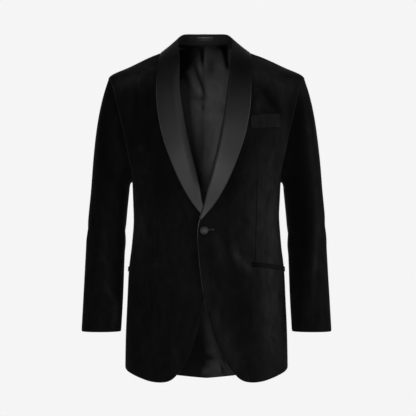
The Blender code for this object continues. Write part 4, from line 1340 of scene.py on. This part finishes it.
class JACKET_OT_button(bpy.types.Operator):
    """Make the covered button and its stitched buttonhole"""

    bl_idname = "jacket.button"
    bl_label = "Button and buttonhole"

    def execute(self, context):
        trim = context.scene.jacket_trim
        self.covered_button(trim)
        self.buttonhole(trim)
        return {"FINISHED"}

    def covered_button(self, trim):
        """Domed button turned from its profile, with a pressed ring and a rolled rim."""
        middle, axis = axis_of("button")
        radius = trim.button_radius
        mesh = bmesh.new()
        verts = [mesh.verts.new((x * radius, 0.0, z * radius)) for x, z in BUTTON_PROFILE]
        edges = [mesh.edges.new(pair) for pair in zip(verts, verts[1:])]
        spin_round(mesh, verts + edges, steps=48)
        turn = Vector((0, 0, 1)).rotation_difference(axis).to_matrix().to_4x4()
        base = middle - axis * (BUTTON_MIDDLE * radius)
        bmesh.ops.transform(mesh, matrix=Matrix.Translation(base) @ turn, verts=mesh.verts)
        thing = new_piece("satin_button", mesh, satin_material())
        drape_on_body(thing)
        finish_piece(thing, "button")

    def buttonhole(self, trim):
        """Stitched rim of the buttonhole, a ring drawn out sideways and laid on the left front."""
        middle = axis_of("button")[0]
        half = trim.buttonhole_thread / 2
        tilt = Matrix.Rotation(math.pi / 2, 3, "X")
        mesh = bmesh.new()
        ring = bmesh.ops.create_circle(mesh, segments=10, radius=half)["verts"]
        bmesh.ops.rotate(mesh, cent=(0, 0, 0), matrix=tilt, verts=ring)
        bmesh.ops.translate(mesh, vec=(half * BUTTONHOLE_BEND, 0, 0), verts=ring)
        spin_round(mesh, ring + list(mesh.edges), steps=40)
        bmesh.ops.rotate(mesh, cent=(0, 0, 0), matrix=tilt, verts=mesh.verts)
        reach = trim.buttonhole_length / 2 - half * BUTTONHOLE_END
        for vert in mesh.verts:
            vert.co.x += math.copysign(reach, vert.co.x)
        place = (middle.x + BUTTONHOLE_ASIDE, 0.0, middle.z + BUTTONHOLE_ABOVE)
        bmesh.ops.translate(mesh, vec=place, verts=mesh.verts)
        thing = new_piece("satin_buttonhole", mesh, satin_material())
        lay_on(thing, "velvet_front_left")
        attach(thing, BODY)


class JACKET_OT_front_edge(bpy.types.Operator):
    """Make the thin satin roll along the left front's edge, below the lapel"""

    bl_idname = "jacket.front_edge"
    bl_label = "Front edge"

    def execute(self, context):
        front = bpy.data.objects["velvet_front_left"]
        points = read_points(front)
        zs, shares, tones = zip(*EDGE_ROLL)
        on_edge = np.minimum(read_mark(front, "near_edge"), read_mark(front, "on_outer")) > ON_EDGE
        on_edge &= (points[:, 2] > zs[0]) & (points[:, 2] < zs[-1])
        on_edge &= np.abs(points[:, 0]) < EDGE_ROLL_REACH
        path = points[on_edge]
        path = path[np.argsort(path[:, 2])]
        radii = context.scene.jacket_trim.edge_roll / 2 * np.interp(path[:, 2], zs, shares)
        thing = new_tube("satin_edge_roll", path, radii, satin_material())
        # The roll's tone is a painted highlight along the edge.
        write_mark(thing, "tone", np.interp(read_points(thing)[:, 2], zs, tones))
        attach(thing, BODY)
        return {"FINISHED"}


class JACKET_OT_label(bpy.types.Operator):
    """Make the bare label on the collar stand"""

    bl_idname = "jacket.label"
    bl_label = "Neck label"

    def execute(self, context):
        cloth = context.scene.jacket_cloth
        thing = smooth_wall("label_neck", "neck_label", cloth.trim_width, [label_material()])
        drape_on_body(thing)
        write_tones(thing, outward_of(read_points(thing)), LABEL_TONES, LABEL_TONE)
        finish_piece(thing, "neck_label")
        return {"FINISHED"}


class JACKET_OT_stage(bpy.types.Operator):
    """Make the camera, the floor and the light"""

    bl_idname = "jacket.stage"
    bl_label = "Stage"

    def execute(self, context):
        stage = context.scene.jacket_stage
        self.camera(context, stage)
        self.floor(context, stage)
        self.world(context, stage)
        for softbox in SOFTBOXES:
            self.light(context, softbox)
        context.scene.view_settings.view_transform = "Standard"
        return {"FINISHED"}

    def camera(self, context, stage):
        """Camera level with the jacket's middle, framed as the photograph."""
        lens = bpy.data.cameras.new("camera")
        lens.sensor_width = SENSOR_WIDTH
        lens.lens = lens.sensor_width * stage.distance / stage.view_width
        thing = bpy.data.objects.new("camera", lens)
        thing.location = (stage.eye_x, -stage.distance, stage.eye_z)
        thing.rotation_euler = (math.pi / 2, 0.0, 0.0)
        context.scene.collection.objects.link(thing)
        context.scene.camera = thing

    def floor(self, context, stage):
        """Pale round floor that fades out at its edge."""
        mesh = bmesh.new()
        bmesh.ops.create_circle(mesh, cap_ends=True, segments=96, radius=stage.floor_radius)
        bmesh.ops.translate(mesh, vec=(0.0, 0.0, stage.floor_z), verts=mesh.verts)
        material = bpy.data.materials.new("pale_floor")
        material.use_nodes = True
        tree = material.node_tree
        shader = tree.nodes["Principled BSDF"]
        shader.inputs["Base Color"].default_value = FLOOR_COLOUR
        shader.inputs["Roughness"].default_value = 0.9
        shader.inputs["Emission Strength"].default_value = 1.0
        place = add_node(tree, "TexCoord")
        level = add_node(tree, "VectorMath", {1: (1.0, 1.0, 0.0)}, operation="MULTIPLY")
        reach = add_node(tree, "VectorMath", operation="LENGTH")
        start, end = (share * stage.floor_radius for share in FLOOR_FADE)
        fade = add_node(
            tree, "MapRange", {"From Min": start, "From Max": end, "To Min": 1.0, "To Max": 0.0},
            interpolation_type="SMOOTHSTEP",
        )
        rays = add_node(tree, "LightPath")
        glow = add_node(tree, "Mix", data_type="RGBA")
        glow.inputs["A"].default_value = BLACK
        glow.inputs["B"].default_value = (*[stage.floor_glow] * 3, 1.0)
        wire(
            tree,
            (place, "Object", level, 0),
            (level, "Vector", reach, 0),
            (reach, "Value", fade, "Value"),
            (fade, "Result", shader, "Alpha"),
            (rays, "Is Camera Ray", glow, "Factor"),
            (glow, "Result", shader, "Emission Color"),
        )
        thing = new_piece("floor", mesh, material)

    def world(self, context, stage):
        """Pale backdrop for the camera, and a weaker even light for the cloth."""
        world = bpy.data.worlds.new("studio")
        world.use_nodes = True
        tree = world.node_tree
        light = tree.nodes["Background"]
        light.inputs["Color"].default_value = WHITE
        light.inputs["Strength"].default_value = stage.ambient
        backdrop = add_node(tree, "Background", {"Color": WHITE, "Strength": stage.backdrop})
        rays = add_node(tree, "LightPath")
        mix = add_node(tree, "MixShader")
        wire(
            tree,
            (rays, "Is Camera Ray", mix, "Fac"),
            (light, "Background", mix, 1),
            (backdrop, "Background", mix, 2),
            (mix, "Shader", tree.nodes["World Output"], "Surface"),
        )
        context.scene.world = world

    def light(self, context, softbox):
        """Rectangular soft light aimed at a point."""
        name = f"softbox_{softbox.name}"
        lamp = bpy.data.lights.new(name, "AREA")
        lamp.shape = "RECTANGLE"
        lamp.size, lamp.size_y = softbox.size
        lamp.energy = softbox.power
        thing = bpy.data.objects.new(name, lamp)
        thing.location = softbox.place
        way = Vector(softbox.target) - Vector(softbox.place)
        thing.rotation_euler = way.to_track_quat("-Z", "Y").to_euler()
        thing.visible_camera = False
        context.scene.collection.objects.link(thing)


class JACKET_PT_sidebar(bpy.types.Panel):
    """The jacket's sizes, colours and steps"""

    bl_label = "Tuxedo Jacket"
    bl_idname = "JACKET_PT_sidebar"
    bl_space_type = "VIEW_3D"
    bl_region_type = "UI"
    bl_category = "Jacket"

    def draw(self, context):
        for name, group in GROUPS.items():
            box = self.layout.box()
            for label in group.__annotations__:
                box.prop(getattr(context.scene, name), label)
        for operator in STEPS:
            self.layout.operator(operator.bl_idname)


GROUPS = {
    "jacket_cloth": JacketCloth,
    "jacket_finish": JacketFinish,
    "jacket_trim": JacketTrim,
    "jacket_stage": JacketStage,
}
STEPS = (
    JACKET_OT_body,
    JACKET_OT_sleeves,
    JACKET_OT_collar,
    JACKET_OT_lining,
    JACKET_OT_pockets,
    JACKET_OT_button,
    JACKET_OT_front_edge,
    JACKET_OT_label,
    JACKET_OT_stage,
)


def register():
    """Register the classes and put the property groups on the scene."""
    for item in (*GROUPS.values(), *STEPS, JACKET_PT_sidebar):
        bpy.utils.register_class(item)
    for name, group in GROUPS.items():
        setattr(bpy.types.Scene, name, PointerProperty(type=group))


def unregister():
    """Take the property groups and classes away again."""
    for name in GROUPS:
        delattr(bpy.types.Scene, name)
    for item in (JACKET_PT_sidebar, *reversed(STEPS), *GROUPS.values()):
        bpy.utils.unregister_class(item)


def main():
    """Make the jacket and its stage."""
    register()
    bpy.ops.jacket.body()
    bpy.ops.jacket.sleeves()
    bpy.ops.jacket.collar()
    bpy.ops.jacket.lining()
    bpy.ops.jacket.pockets()
    bpy.ops.jacket.button()
    bpy.ops.jacket.front_edge()
    bpy.ops.jacket.label()
    bpy.ops.jacket.stage()


if __name__ == "__main__":
    main()
